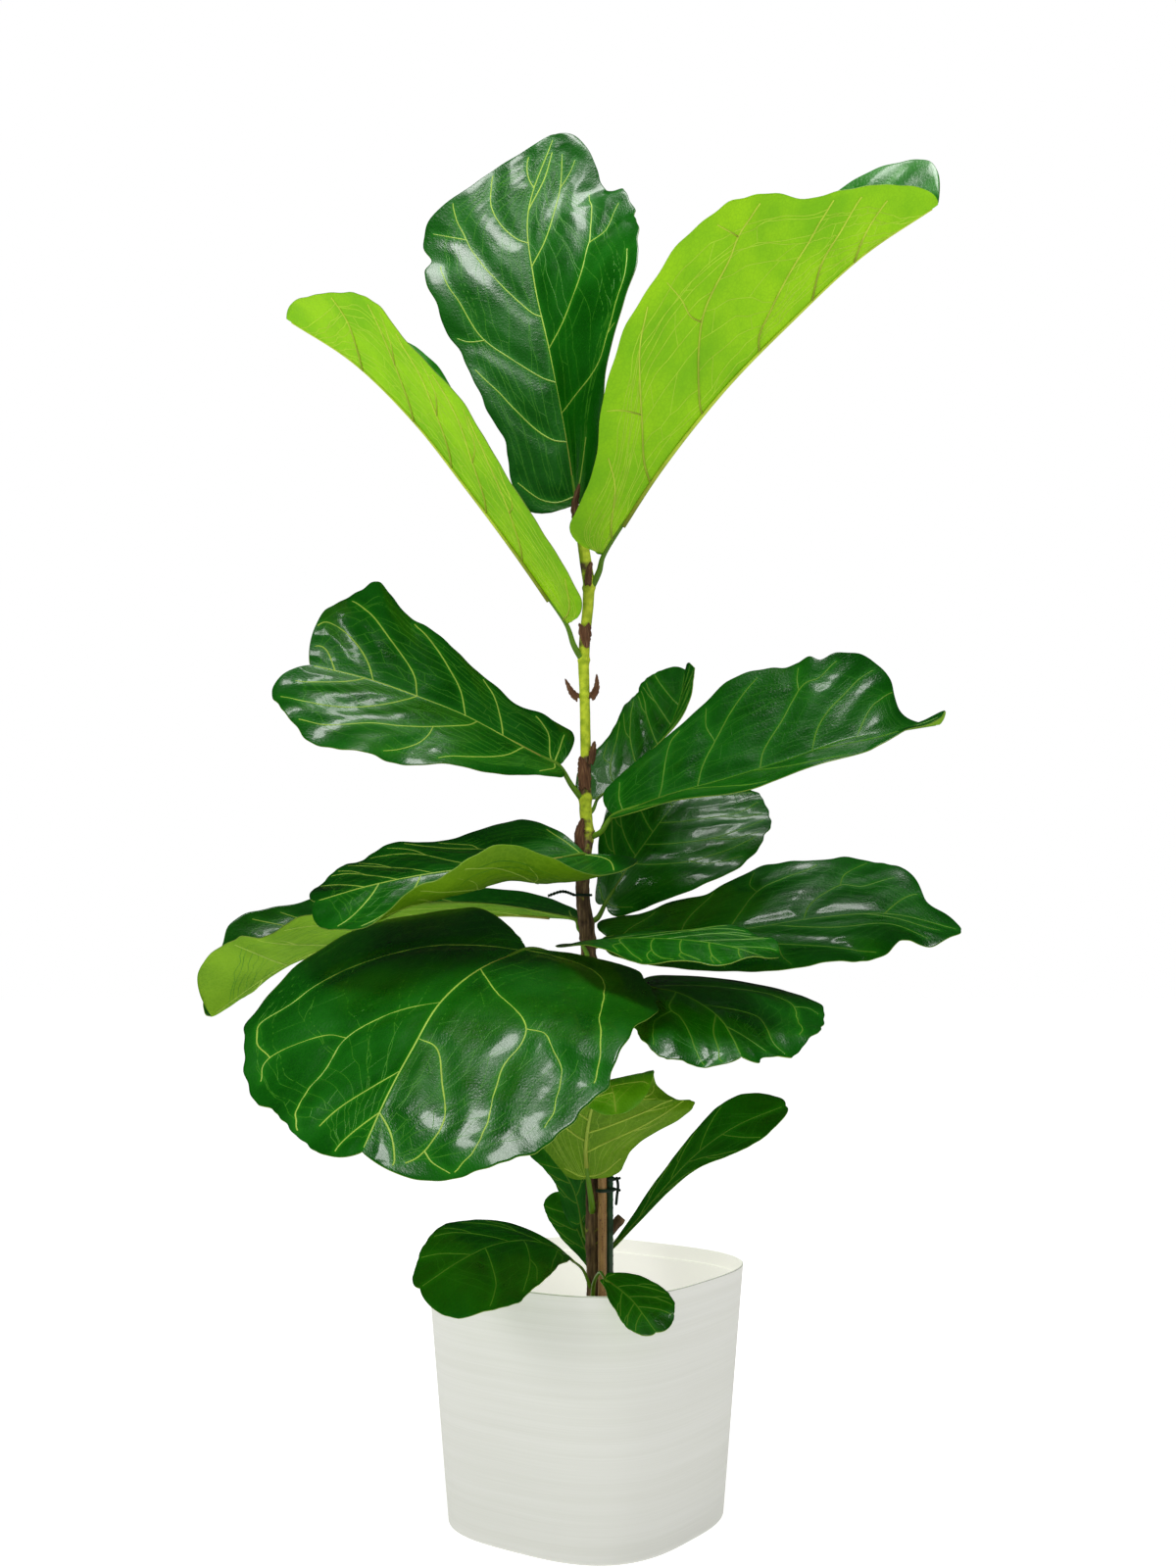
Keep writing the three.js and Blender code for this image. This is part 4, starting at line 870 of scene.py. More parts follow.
def flat_blade(leaf, u, v):
    """Points of the blade's middle surface, as the solid has it, and how wide its rows are."""
    rib = along(leaf["rib"], u)
    ahead = unit(along(leaf["rib"], np.clip(u + 1e-3, 0, 1)) - along(leaf["rib"], np.clip(u - 1e-3, 0, 1)))
    face = along(leaf["face"], u)
    up = unit(face - (face * ahead).sum(1, keepdims=True) * ahead)
    right = np.cross(ahead, up)
    side = (v >= 0).astype(int)
    out = np.abs(v)
    past_tip = np.clip((u - (1 - TIP_ROUNDING)) / TIP_ROUNDING, 0, 1)
    rows = np.arange(len(u))
    row = np.maximum(0, along(leaf["half"], u)[rows, side]) * np.sqrt(1 - past_tip ** 2)
    sweep = np.radians(along(leaf.get("sweep", SWEEP), u)[rows, side])
    lift = np.radians(along(leaf["lift"], u)[rows, side])
    curl = np.radians(along(leaf.get("curl", [(0, 0)]), u)[rows, side])
    curl = np.where(np.abs(curl) < 1e-4, 1e-4, curl)
    reach = row * np.cos(sweep)
    across = reach * (np.sin(lift + curl * out) - np.sin(lift)) / curl
    height = reach * (np.cos(lift) - np.cos(lift + curl * out)) / curl
    wave = along([(w,) for w in leaf.get("wave", [0])], u)[:, 0]
    phase = 0.4 * side
    ripple = (wave * row / np.max(leaf["half"]) * out ** 2
              * np.sin(2 * np.pi * (leaf.get("waves", 0) * u + phase)))
    points = (rib + right * (np.where(side == 0, -1, 1) * across)[:, None]
              + up * (height + ripple)[:, None] + ahead * (row * np.sin(sweep) * out)[:, None])
    return points, row


def blade(leaf, u, v):
    """Points, upward normals and flat places of a blade with its scalloped margin and uneven surface."""
    side = (v >= 0).astype(int)
    before_foot = np.clip(1 - u / FOOT_ROUNDING, 0, 1)
    stretched_v = v * (1 + margin_wobble(leaf, u, side) * v ** 2) * np.sqrt(1.02 - before_foot ** 2)
    points, row = flat_blade(leaf, u, stretched_v)
    step = 2e-3
    lengthwise = (flat_blade(leaf, np.minimum(u + step, 1), stretched_v)[0]
                  - flat_blade(leaf, np.maximum(u - step, 0), stretched_v)[0])
    crosswise = flat_blade(leaf, u, stretched_v + step)[0] - flat_blade(leaf, u, stretched_v - step)[0]
    normals = unit(np.cross(crosswise, lengthwise))
    place = np.stack([u * leaf["length"], v * row, np.zeros(len(u))], 1)
    s, w = place[:, 0], place[:, 1]
    turn = leaf["seed"] * 2.4
    uneven = (0.5 * np.sin(s / 11 + turn) * np.sin(w / 9 + 1.3 * turn)
              + 0.8 * np.sin(s / 23 - w / 31 + turn) + 0.5 * np.sin(w / 15 + s / 37 + 2 * turn))
    beside_rib = 1 - np.exp(-(w / 26) ** 2)
    return points + normals * (leaf["uneven"] * uneven * beside_rib)[:, None], normals, place


# The side veins of the leaves that are seen best, left then right of the midrib: each is a line of (share
# of the leaf's length, share of the way to the margin), and a line that starts off the midrib is a fork.
VEINS = {
    "leaf_crown": (
        [[(0.02, 0), (0.03, 0.5), (0.1, 0.9)],
         [(0.175, 0), (0.19, 0.22), (0.24, 0.49), (0.33, 0.8), (0.375, 0.93)],
         [(0.325, 0), (0.345, 0.2), (0.4, 0.51), (0.445, 0.68), (0.515, 0.76), (0.63, 0.86)],
         [(0.445, 0.68), (0.445, 0.85), (0.455, 0.94)],
         [(0.495, 0), (0.515, 0.12), (0.6, 0.37), (0.705, 0.6), (0.75, 0.77), (0.78, 0.93)],
         [(0.705, 0.6), (0.71, 0.75), (0.715, 0.92)],
         [(0.705, 0), (0.72, 0.14), (0.79, 0.5), (0.83, 0.7), (0.86, 0.88)],
         [(0.86, 0), (0.88, 0.2), (0.93, 0.6)]],
        [[(0.02, 0), (0.06, 0.3), (0.16, 0.55)],
         [(0.25, 0), (0.255, 0.25), (0.268, 0.75), (0.305, 0.85), (0.385, 0.88), (0.46, 0.9)],
         [(0.305, 0.85), (0.31, 0.94)],
         [(0.41, 0), (0.44, 0.2), (0.51, 0.42), (0.595, 0.54), (0.68, 0.65), (0.8, 0.77)],
         [(0.595, 0.54), (0.6, 0.7), (0.65, 0.9)],
         [(0.635, 0), (0.685, 0.17), (0.755, 0.3), (0.85, 0.4), (0.94, 0.38)],
         [(0.85, 0.4), (0.92, 0.65)], [(0.8, 0), (0.88, 0.12), (0.95, 0.12)]]),
    "leaf_top_right": (
        [[(0.1, 0), (0.16, 0.4), (0.24, 0.8)], [(0.27, 0), (0.31, 0.3), (0.38, 0.6), (0.45, 0.92)],
         [(0.43, 0), (0.48, 0.3), (0.55, 0.6), (0.62, 0.92)],
         [(0.6, 0), (0.64, 0.3), (0.7, 0.6), (0.78, 0.92)],
         [(0.76, 0), (0.8, 0.4), (0.88, 0.9)]],
        [[(0.03, 0), (0.06, 0.2), (0.13, 0.5), (0.17, 0.8)],
         [(0.17, 0), (0.2, 0.27), (0.255, 0.52), (0.29, 0.68), (0.32, 0.8), (0.36, 0.92)],
         [(0.255, 0.52), (0.24, 0.75), (0.225, 0.93)],
         [(0.335, 0), (0.35, 0.12), (0.42, 0.48), (0.5, 0.65), (0.536, 0.76), (0.6, 0.93)],
         [(0.42, 0.48), (0.408, 0.58), (0.407, 0.72), (0.4, 0.9)],
         [(0.536, 0.76), (0.52, 0.84), (0.505, 0.92)],
         [(0.505, 0), (0.52, 0.1), (0.566, 0.2), (0.667, 0.47), (0.716, 0.7), (0.75, 0.9)],
         [(0.66, 0), (0.7, 0.25), (0.76, 0.5), (0.81, 0.85)], [(0.78, 0), (0.81, 0.25), (0.87, 0.7)]]),
    "leaf_middle_left": (
        [[(0.02, 0), (0.05, 0.5), (0.12, 0.85)], [(0.15, 0), (0.215, 0.45), (0.29, 0.7), (0.37, 0.88)],
         [(0.35, 0), (0.372, 0.15), (0.434, 0.3), (0.54, 0.47), (0.635, 0.57), (0.765, 0.93)],
         [(0.46, 0.34), (0.45, 0.5), (0.46, 0.67), (0.515, 0.9)],
         [(0.6, 0), (0.618, 0.1), (0.658, 0.27), (0.75, 0.56), (0.88, 0.9)],
         [(0.8, 0), (0.82, 0.12), (0.88, 0.35), (0.93, 0.6)]],
        [[(0.02, 0), (0.05, 0.5), (0.09, 0.85)], [(0.03, 0), (0.12, 0.6), (0.2, 0.85)],
         [(0.24, 0), (0.275, 0.35), (0.31, 0.74), (0.345, 0.93)],
         [(0.4, 0), (0.42, 0.4), (0.468, 0.66), (0.52, 0.85), (0.56, 0.94)],
         [(0.6, 0), (0.605, 0.27), (0.705, 0.54), (0.77, 0.74), (0.82, 0.92)],
         [(0.77, 0), (0.785, 0.18), (0.825, 0.4), (0.9, 0.74), (0.95, 0.92)],
         [(0.91, 0), (0.93, 0.35), (0.97, 0.6)]]),
    "leaf_middle_right": (
        [[(0.03, 0), (0.05, 0.45), (0.08, 0.85)], [(0.14, 0), (0.165, 0.25), (0.205, 0.82), (0.23, 0.93)],
         [(0.25, 0), (0.27, 0.26), (0.3, 0.47), (0.35, 0.74), (0.395, 0.93)],
         [(0.3, 0.47), (0.283, 0.7), (0.285, 0.92)],
         [(0.42, 0), (0.427, 0.18), (0.467, 0.42), (0.51, 0.69), (0.567, 0.77), (0.61, 0.9)],
         [(0.51, 0.69), (0.5, 0.82), (0.5, 0.94)],
         [(0.565, 0), (0.575, 0.2), (0.6, 0.36), (0.64, 0.54), (0.69, 0.9)],
         [(0.7, 0), (0.715, 0.4), (0.74, 0.62), (0.78, 0.92)]],
        [[(0.04, 0), (0.1, 0.5), (0.18, 0.9)], [(0.22, 0), (0.3, 0.45), (0.38, 0.9)],
         [(0.4, 0), (0.47, 0.45), (0.54, 0.9)], [(0.58, 0), (0.64, 0.5), (0.7, 0.9)],
         [(0.75, 0), (0.8, 0.5), (0.86, 0.9)]]),
    "leaf_far_right": (
        [[(0.03, 0), (0.1, 0.5), (0.2, 0.9)], [(0.2, 0), (0.24, 0.35), (0.3, 0.7), (0.33, 0.92)],
         [(0.34, 0), (0.38, 0.3), (0.432, 0.62), (0.54, 0.8), (0.57, 0.9)],
         [(0.432, 0.62), (0.415, 0.78), (0.43, 0.95)],
         [(0.55, 0), (0.567, 0.24), (0.63, 0.5), (0.695, 0.5), (0.785, 0.75)],
         [(0.63, 0.5), (0.632, 0.66), (0.65, 0.79), (0.68, 0.95)], [(0.78, 0), (0.81, 0.3), (0.85, 0.7)]],
        [[(0.02, 0), (0.1, 0.5), (0.16, 0.9)], [(0.18, 0), (0.22, 0.35), (0.28, 0.9)],
         [(0.34, 0), (0.398, 0.31), (0.427, 0.42), (0.56, 0.7), (0.64, 0.92)],
         [(0.427, 0.42), (0.41, 0.7), (0.41, 0.92)],
         [(0.46, 0), (0.555, 0.2), (0.65, 0.31), (0.775, 0.42), (0.88, 0.8)],
         [(0.72, 0), (0.82, 0.2), (0.93, 0.5)]]),
    "leaf_front_broad": (
        [[(0.01, 0), (0.03, 0.3), (0.06, 0.55), (0.105, 0.67), (0.25, 0.73), (0.385, 0.91), (0.455, 0.93)],
         [(0.2, 0), (0.245, 0.09), (0.31, 0.24), (0.39, 0.5), (0.52, 0.5), (0.645, 0.63), (0.76, 0.8),
          (0.85, 0.93)],
         [(0.39, 0.5), (0.385, 0.6), (0.416, 0.68), (0.47, 0.78), (0.6, 0.92)],
         [(0.55, 0), (0.553, 0.13), (0.65, 0.29), (0.75, 0.48), (0.86, 0.6), (0.93, 0.66)],
         [(0.86, 0.6), (0.87, 0.75), (0.86, 0.93)], [(0.86, 0), (0.885, 0.2), (0.93, 0.45), (0.965, 0.7)]],
        [[(0.02, 0), (0.13, 0.32), (0.19, 0.5), (0.285, 0.74), (0.335, 0.82), (0.375, 0.92), (0.425, 0.93),
          (0.467, 0.86)],
         [(0.4, 0), (0.4, 0.15), (0.42, 0.29), (0.462, 0.45), (0.55, 0.56), (0.63, 0.75), (0.715, 0.89),
          (0.78, 0.95)],
         [(0.462, 0.45), (0.44, 0.55), (0.445, 0.68), (0.467, 0.86), (0.52, 0.93)],
         [(0.69, 0), (0.72, 0.25), (0.75, 0.5), (0.8, 0.75)], [(0.86, 0), (0.9, 0.4), (0.95, 0.8)]]),
    "leaf_lower_right": (
        [[(0.03, 0), (0.12, 0.3), (0.2, 0.55), (0.25, 0.73), (0.345, 0.77), (0.44, 0.78), (0.58, 0.88)],
         [(0.345, 0.77), (0.35, 0.88), (0.38, 0.95)],
         [(0.42, 0), (0.43, 0.28), (0.465, 0.43), (0.56, 0.5), (0.66, 0.65), (0.72, 0.9)],
         [(0.68, 0), (0.72, 0.3), (0.8, 0.7)]],
        [[(0.02, 0), (0.08, 0.5), (0.16, 0.9)],
         [(0.2, 0), (0.31, 0.33), (0.365, 0.4), (0.436, 0.38), (0.55, 0.45), (0.69, 0.63), (0.83, 0.92)],
         [(0.365, 0.4), (0.387, 0.7), (0.46, 0.82), (0.52, 0.94)],
         [(0.55, 0), (0.65, 0.2), (0.8, 0.4), (0.93, 0.8)]]),
}

# Lobes and notches of the margin: side, share of the length, spread, and how much wider the row gets.
LOBES = {
    "leaf_crown": [(0, 0.19, 0.07, -0.19), (0, 0.48, 0.05, 0.06), (0, 0.65, 0.03, -0.09),
                   (0, 0.75, 0.04, 0.08), (1, 0.37, 0.08, 0.14)],
    "leaf_middle_left": [(1, 0.07, 0.06, 0.3), (1, 0.25, 0.05, -0.18)],
    "leaf_middle_right": [(0, 0.4, 0.08, 0.08), (0, 0.57, 0.03, -0.08), (0, 0.67, 0.03, 0.06)],
    "leaf_far_right": [(0, 0.31, 0.05, -0.22), (0, 0.45, 0.04, 0.12), (0, 0.57, 0.05, -0.08),
                       (0, 0.89, 0.04, -0.4), (1, 0.68, 0.06, 0.2), (1, 0.9, 0.06, 0.45)],
    "leaf_lower_right": [(0, 0.88, 0.07, -0.3)],
    "leaf_top_right": [(1, 0.2, 0.05, 0.08), (1, 0.7, 0.05, -0.06)],
}

# The order of each kind of vein, thickest first, and how many points its line has.
MIDRIB, SIDE_VEIN, FORK, RUNG, LINK = 0, 1, 1.4, 2, 2.5
MIDRIB_POINTS = 120
VEIN_POINTS = 80
RUNG_POINTS = 19
LINK_POINTS = 6

# The blade puffs up from the valley beside a vein to its full height at the width, less on a small leaf.
VEIN_VALLEY = 2.8
PUFF = 1.5
PUFF_WIDTH = 18.0
FINE_VALLEY = 1.2
FINE_PUFF = 0.22
FINE_PUFF_WIDTH = 6.5
SMALL_LEAF_SIZE = 0.5

# The stalk runs on under the blade's foot, tapers, and hides the first points of the midrib.
STALK_REACH = 0.08
STALK_POINTS = 26
STALK_TAPER = 0.55
UNDER_STALK_POINTS = 8

# Rungs between two side veins, and how uneven the blade is, for large and small leaves.
RUNGS = 8
SMALL_RUNGS = 5
UNEVEN = 0.5
SMALL_UNEVEN = 0.3


def usual_veins(leaf, side):
    """Side veins of a leaf that is seen less well: evenly spread, bending forward, each with a fork."""
    starts = ([0.16, 0.31, 0.47, 0.62, 0.77], [0.22, 0.38, 0.54, 0.69, 0.83])[side]
    if leaf["small"]:
        starts = ([0.2, 0.42, 0.62], [0.3, 0.52, 0.72])[side]
    lines = [[(0.01, 0), (0.03, 0.45), (0.1, 0.85)]]
    for k, start in enumerate(starts):
        start += 0.02 * math.sin(5 * k + 2.7 * leaf["seed"] + side)
        reach = (0.97 - start) * 0.32
        fork = (start + 0.36 * reach, 0.5 + 0.05 * math.sin(k + leaf["seed"]))
        lines.append([(start, 0), (start + 0.1 * reach, 0.2), fork,
                      (start + 0.66 * reach, 0.74), (start + reach, 0.93)])
        if k < len(starts) - 1:
            lines.append([fork, (fork[0] + 0.03 * reach, 0.72), (fork[0] + 0.25 * reach, 0.93)])
    return lines


def vein_curves(leaf):
    """The veins as (order, u, v) curves: a midrib, side veins with their forks, and fine rungs between."""
    curves = [(MIDRIB, np.linspace(0.0, 0.985, MIDRIB_POINTS), np.zeros(MIDRIB_POINTS))]
    draw = np.random.default_rng(leaf["seed"])
    for side, sign in ((0, -1), (1, 1)):
        mains = []
        for line in leaf["veins"][side]:
            u, v = along(line, np.linspace(0, 1, VEIN_POINTS)).T
            is_fork = line[0][1] > 0
            curves.append((FORK if is_fork else SIDE_VEIN, u, sign * v))
            if not is_fork:
                mains.append((u, v))
        foot = (np.full(VEIN_POINTS, 0.002), mains[0][1])
        tip = (np.linspace(mains[-1][0][0] + 0.04, 0.975, VEIN_POINTS), np.full(VEIN_POINTS, 0.002))
        for one, two in zip([foot] + mains, mains + [tip]):
            rungs = []
            gap = np.abs(two[0] - one[0]).max() * leaf["length"]
            count = max(3, round(leaf["rungs"] * min(1.3, gap / 45)))
            for j in range(count):
                t = 0.1 + 0.86 * (j + draw.uniform(-0.3, 0.3)) / count
                begin = round((VEIN_POINTS - 1) * t)
                end = min(VEIN_POINTS - 1, round((VEIN_POINTS - 1) * (t + draw.uniform(-0.04, 0.06))))
                share = np.linspace(0, 1, RUNG_POINTS)
                bow = np.sin(np.pi * share) * draw.uniform(-0.03, 0.03)
                kink = np.interp(share, np.linspace(0, 1, 7), [0, *draw.uniform(-0.016, 0.016, 5), 0])
                u = one[0][begin] + (two[0][end] - one[0][begin]) * share + kink[::-1] * 0.4
                v = one[1][begin] + (two[1][end] - one[1][begin]) * share + bow + kink
                curves.append((RUNG, u, sign * v))
                rungs.append((u, v))
            for (u1, v1), (u2, v2) in zip(rungs, rungs[1:]):
                i = int(draw.integers(3, 16))
                k = min(15, max(3, i + int(draw.integers(-3, 4))))
                curves.append((LINK, np.linspace(u1[i], u2[k], LINK_POINTS),
                               sign * np.linspace(v1[i], v2[k], LINK_POINTS)))
    return curves


def vein_radius(leaf, order, share):
    """Radius of a vein in millimetres, thinner towards its end."""
    if order == MIDRIB:
        return leaf["stalk_radius"] * 0.42 * (1 - share) ** 1.3 + 0.7
    if order < RUNG:
        return (0.98 if order == SIDE_VEIN else 0.8) - 0.3 * share
    return np.full_like(share, 0.5 if order == RUNG else 0.46)


def vein_rise(leaf, order, radius):
    """How far a vein stands out above the blade, in millimetres: a young leaf's show only below it."""
    if leaf["finish"] == "young":
        return np.full_like(radius, -0.03)
    return 0.28 + 0.14 * radius if order < RUNG else np.full_like(radius, 0.1)


def vein_tone(leaf, order, share):
    """Where a vein's points lie in its colours: 0 is the stalk's green, and 0.3 or more the pale line."""
    if order == MIDRIB:
        return share
    return 0.12 + 0.3 * share if leaf["finish"] == "young" else np.full_like(share, 0.4)


def smooth_rise(distance, begin, end):
    """A soft step from 0 at one distance to 1 at another."""
    t = np.clip((distance - begin) / (end - begin), 0, 1)
    return t * t * (3 - 2 * t)


def distance_to(points, targets):
    """How far each point is from the nearest target."""
    squares = (points ** 2).sum(1)[:, None] + (targets ** 2).sum(1)[None] - 2 * points @ targets.T
    return np.sqrt(np.maximum(squares.min(1), 0))


def blade_grid(rows, columns):
    """Shares of the length and width of a grid over a blade, closer together at its tip and margins."""
    body = round(rows * 0.78)
    u = np.concatenate([np.linspace(0, 0.9, body, endpoint=False),
                        1 - 0.1 * (1 - np.linspace(0, 0.985, rows - body)) ** 1.7])
    v = np.linspace(-1, 1, columns)
    v = np.sign(v) * (1 - (1 - np.abs(v)) ** 1.12)
    return np.repeat(u, columns), np.tile(v, rows)


def shell_faces(rows, columns):
    """Faces of a closed shell of two grids, and which of them are upper (0), under (1) and margin (2)."""
    count = rows * columns
    grid = np.arange(count).reshape(rows, columns)
    a, b, c, d = (grid[:-1, :-1], grid[:-1, 1:], grid[1:, 1:], grid[1:, :-1])
    above = np.stack([a, b, c, d], -1).reshape(-1, 4)
    below = np.stack([a, d, c, b], -1).reshape(-1, 4) + count
    edge = np.concatenate([grid[0, :-1], grid[:-1, -1], grid[-1, :0:-1], grid[:0:-1, 0]])
    after = np.roll(edge, -1)
    rim = np.stack([after, edge, edge + count, after + count], -1)
    kinds = np.repeat([0, 1, 2], [len(above), len(below), len(rim)])
    return np.concatenate([above, below, rim]), kinds


# Veins and stalks are drawn as lines in the leaf's mesh; this tree makes them round tubes of their radius.
tubes_tree, given = new_node_tree("veins_of_a_leaf", Sides="Int", Vein_finish="Material")
radius = add_node(tubes_tree, "GeometryNodeInputNamedAttribute", data_type="FLOAT", Name="tube_radius")
is_line = add_node(tubes_tree, "FunctionNodeCompare", [(0, radius.outputs[0])],
                   operation="GREATER_THAN", B=0.0)
parted = add_node(tubes_tree, "GeometryNodeSeparateGeometry",
                  [("Geometry", given.outputs["Geometry"]), ("Selection", is_line.outputs[0])],
                  domain="POINT")
vein_lines = add_node(tubes_tree, "GeometryNodeMeshToCurve", [("Mesh", parted.outputs[0])])
section = add_node(tubes_tree, "GeometryNodeCurvePrimitiveCircle",
                   [("Resolution", given.outputs["Sides"])], Radius=1.0)
tubes = add_node(tubes_tree, "GeometryNodeCurveToMesh",
                 [("Curve", vein_lines.outputs[0]), ("Profile Curve", section.outputs[0]),
                  ("Scale", radius.outputs[0])])
tubes.inputs["Fill Caps"].default_value = True
rounded = add_node(tubes_tree, "GeometryNodeSetShadeSmooth", [("Geometry", tubes.outputs[0])])
painted_tubes = add_node(tubes_tree, "GeometryNodeSetMaterial",
                         [("Geometry", rounded.outputs[0]), ("Material", given.outputs["Vein finish"])])
together = add_node(tubes_tree, "GeometryNodeJoinGeometry",
                    [("Geometry", parted.outputs[1]), ("Geometry", painted_tubes.outputs[0])])
real_leaf = add_node(tubes_tree, "GeometryNodeRealizeInstances", [("Geometry", together.outputs[0])])
add_node(tubes_tree, "NodeGroupOutput", [(0, real_leaf.outputs[0])])


def vein_net(tree, place, scale, strength, width):
    """A net of fine lines round small cells: the distance to its lines, and the lines as a grey value."""
    net = add_node(tree, "ShaderNodeTexVoronoi", [("Vector", place)], feature="DISTANCE_TO_EDGE", Scale=scale)
    distance = net.outputs["Distance"]
    return distance, ramp(tree, distance, (0.0, (strength,) * 3), (width, (0, 0, 0)))


def upper_finish(name, dark, middle, near_veins):
    """Glossy leaf skin: mottled, a little lighter beside the veins, with a fine uneven net."""
    roughness = 0.32
    material, tree, shader = new_finish(name, roughness, Specular_IOR_Level=0.22, Coat_Weight=0.3,
                                        Coat_Roughness=0.12)
    place = attribute_of(tree, "blade_place", "Vector")
    mottle = cloudy(tree, place, 26.0, 2.0)
    colour = ramp(tree, mottle, (0.3, dark), (0.7, middle))
    colour = blend(tree, attribute_of(tree, "beside_vein"), colour, near_veins)
    distance, net_line = vein_net(tree, place, 330.0, 0.22, 0.08)
    paint(tree, shader, blend(tree, net_line, colour, near_veins))
    bump(tree, shader, sum_of(tree, distance, cloudy(tree, place, 120.0, 3.0)), 0.5 * MM, 0.55)
    gloss = ramp(tree, mottle, (0.3, (roughness - 0.06,) * 3), (0.7, (roughness + 0.08,) * 3))
    tree.links.new(gloss, shader.inputs["Roughness"])
    return material


def under_finish(name, dark, light, line):
    """Matt leaf underside: paler, with a net of fine raised veins."""
    material, tree, shader = new_finish(name, 0.55, Specular_IOR_Level=0.2)
    place = attribute_of(tree, "blade_place", "Vector")
    colour = ramp(tree, cloudy(tree, place, 22.0, 4.0), (0.35, dark), (0.65, light))
    distance, net_line = vein_net(tree, place, 300.0, 0.3, 0.12)
    paint(tree, shader, blend(tree, net_line, colour, line))
    bump(tree, shader, distance, 0.5 * MM, 0.5)
    return material


def vein_finish(name, foot, line, fine):
    """Vein skin: a green stalk, tan at the foot of the midrib, then pale green, with greener fine rungs."""
    material, tree, shader = new_finish(name, 0.42, Specular_IOR_Level=0.3)
    colour = ramp(tree, attribute_of(tree, "vein_share"), (0.0, (0.12, 0.27, 0.012)), (0.05, foot),
                  (0.3, line))
    fine_share = rise_between(tree, attribute_of(tree, "vein_order"), 1.5, 2.0)
    colour = blend(tree, fine_share, colour, fine)
    shade = ramp(tree, cloudy(tree, object_place(tree), 60.0, 3.0), (0.3, (0.75, 0.75, 0.75)),
                 (0.7, (1.0, 1.0, 1.0)))
    paint(tree, shader, blend(tree, 1.0, colour, shade, "MULTIPLY"))
    return material


margin_finish, margin_tree, margin_shader = new_finish("leaf_margin", 0.5)
margin_tone = cloudy(margin_tree, attribute_of(margin_tree, "blade_place", "Vector"), 40.0)
margin_colour = ramp(margin_tree, margin_tone, (0.3, (0.10, 0.20, 0.015)), (0.7, (0.22, 0.34, 0.03)))
paint(margin_tree, margin_shader, margin_colour)
faint_veins = vein_finish("faint_leaf_veins", (0.12, 0.18, 0.01), (0.11, 0.28, 0.016), (0.02, 0.16, 0.003))
FAINT_VEINED = ["leaf_middle_back", "leaf_low_right_back", "leaf_base_left", "leaf_base_front",
                "leaf_base_dark", "leaf_base_right", "leaf_base_back", "leaf_front_level",
                "leaf_lower_right", "leaf_far_right", "leaf_middle_right"]
LEAF_FINISHES = {
    "mature": [
        upper_finish("leaf_upper", (0.001, 0.055, 0.0003), (0.003, 0.10, 0.0005), (0.012, 0.17, 0.0015)),
        under_finish("leaf_under", (0.10, 0.24, 0.002), (0.17, 0.35, 0.004), (0.24, 0.42, 0.015)),
        margin_finish,
        vein_finish("leaf_veins", (0.25, 0.22, 0.03), (0.34, 0.52, 0.06), (0.045, 0.22, 0.006)),
    ],
    "young": [
        upper_finish("young_leaf_upper", (0.003, 0.09, 0.0005), (0.012, 0.16, 0.001), (0.03, 0.22, 0.004)),
        # The young undersides' bright lime is partly the leaf's own colour and partly painted light, the glow
        # of light shining through the thin blade.
        under_finish("young_leaf_under", (0.19, 0.48, 0.0005), (0.30, 0.61, 0.001), (0.15, 0.38, 0.0005)),
        margin_finish,
        vein_finish("young_leaf_veins", (0.16, 0.20, 0.006), (0.52, 0.68, 0.05), (0.42, 0.68, 0.03)),
    ],
    "pale": [
        upper_finish("pale_leaf_upper", (0.06, 0.22, 0.002), (0.11, 0.30, 0.004), (0.18, 0.38, 0.015)),
        under_finish("pale_leaf_under", (0.085, 0.20, 0.002), (0.13, 0.27, 0.003), (0.22, 0.38, 0.015)),
        margin_finish,
        vein_finish("pale_leaf_veins", (0.30, 0.34, 0.03), (0.36, 0.5, 0.05), (0.26, 0.42, 0.03)),
    ],
}


LEAF_RIB_POINTS = 60
TUBE_SIDES = 6


def rib_length(rib, points):
    """Length of a midrib, in millimetres, over that many points."""
    line = along(rib, np.linspace(0, 1, points))
    return np.linalg.norm(np.diff(line, axis=0), axis=1).sum()


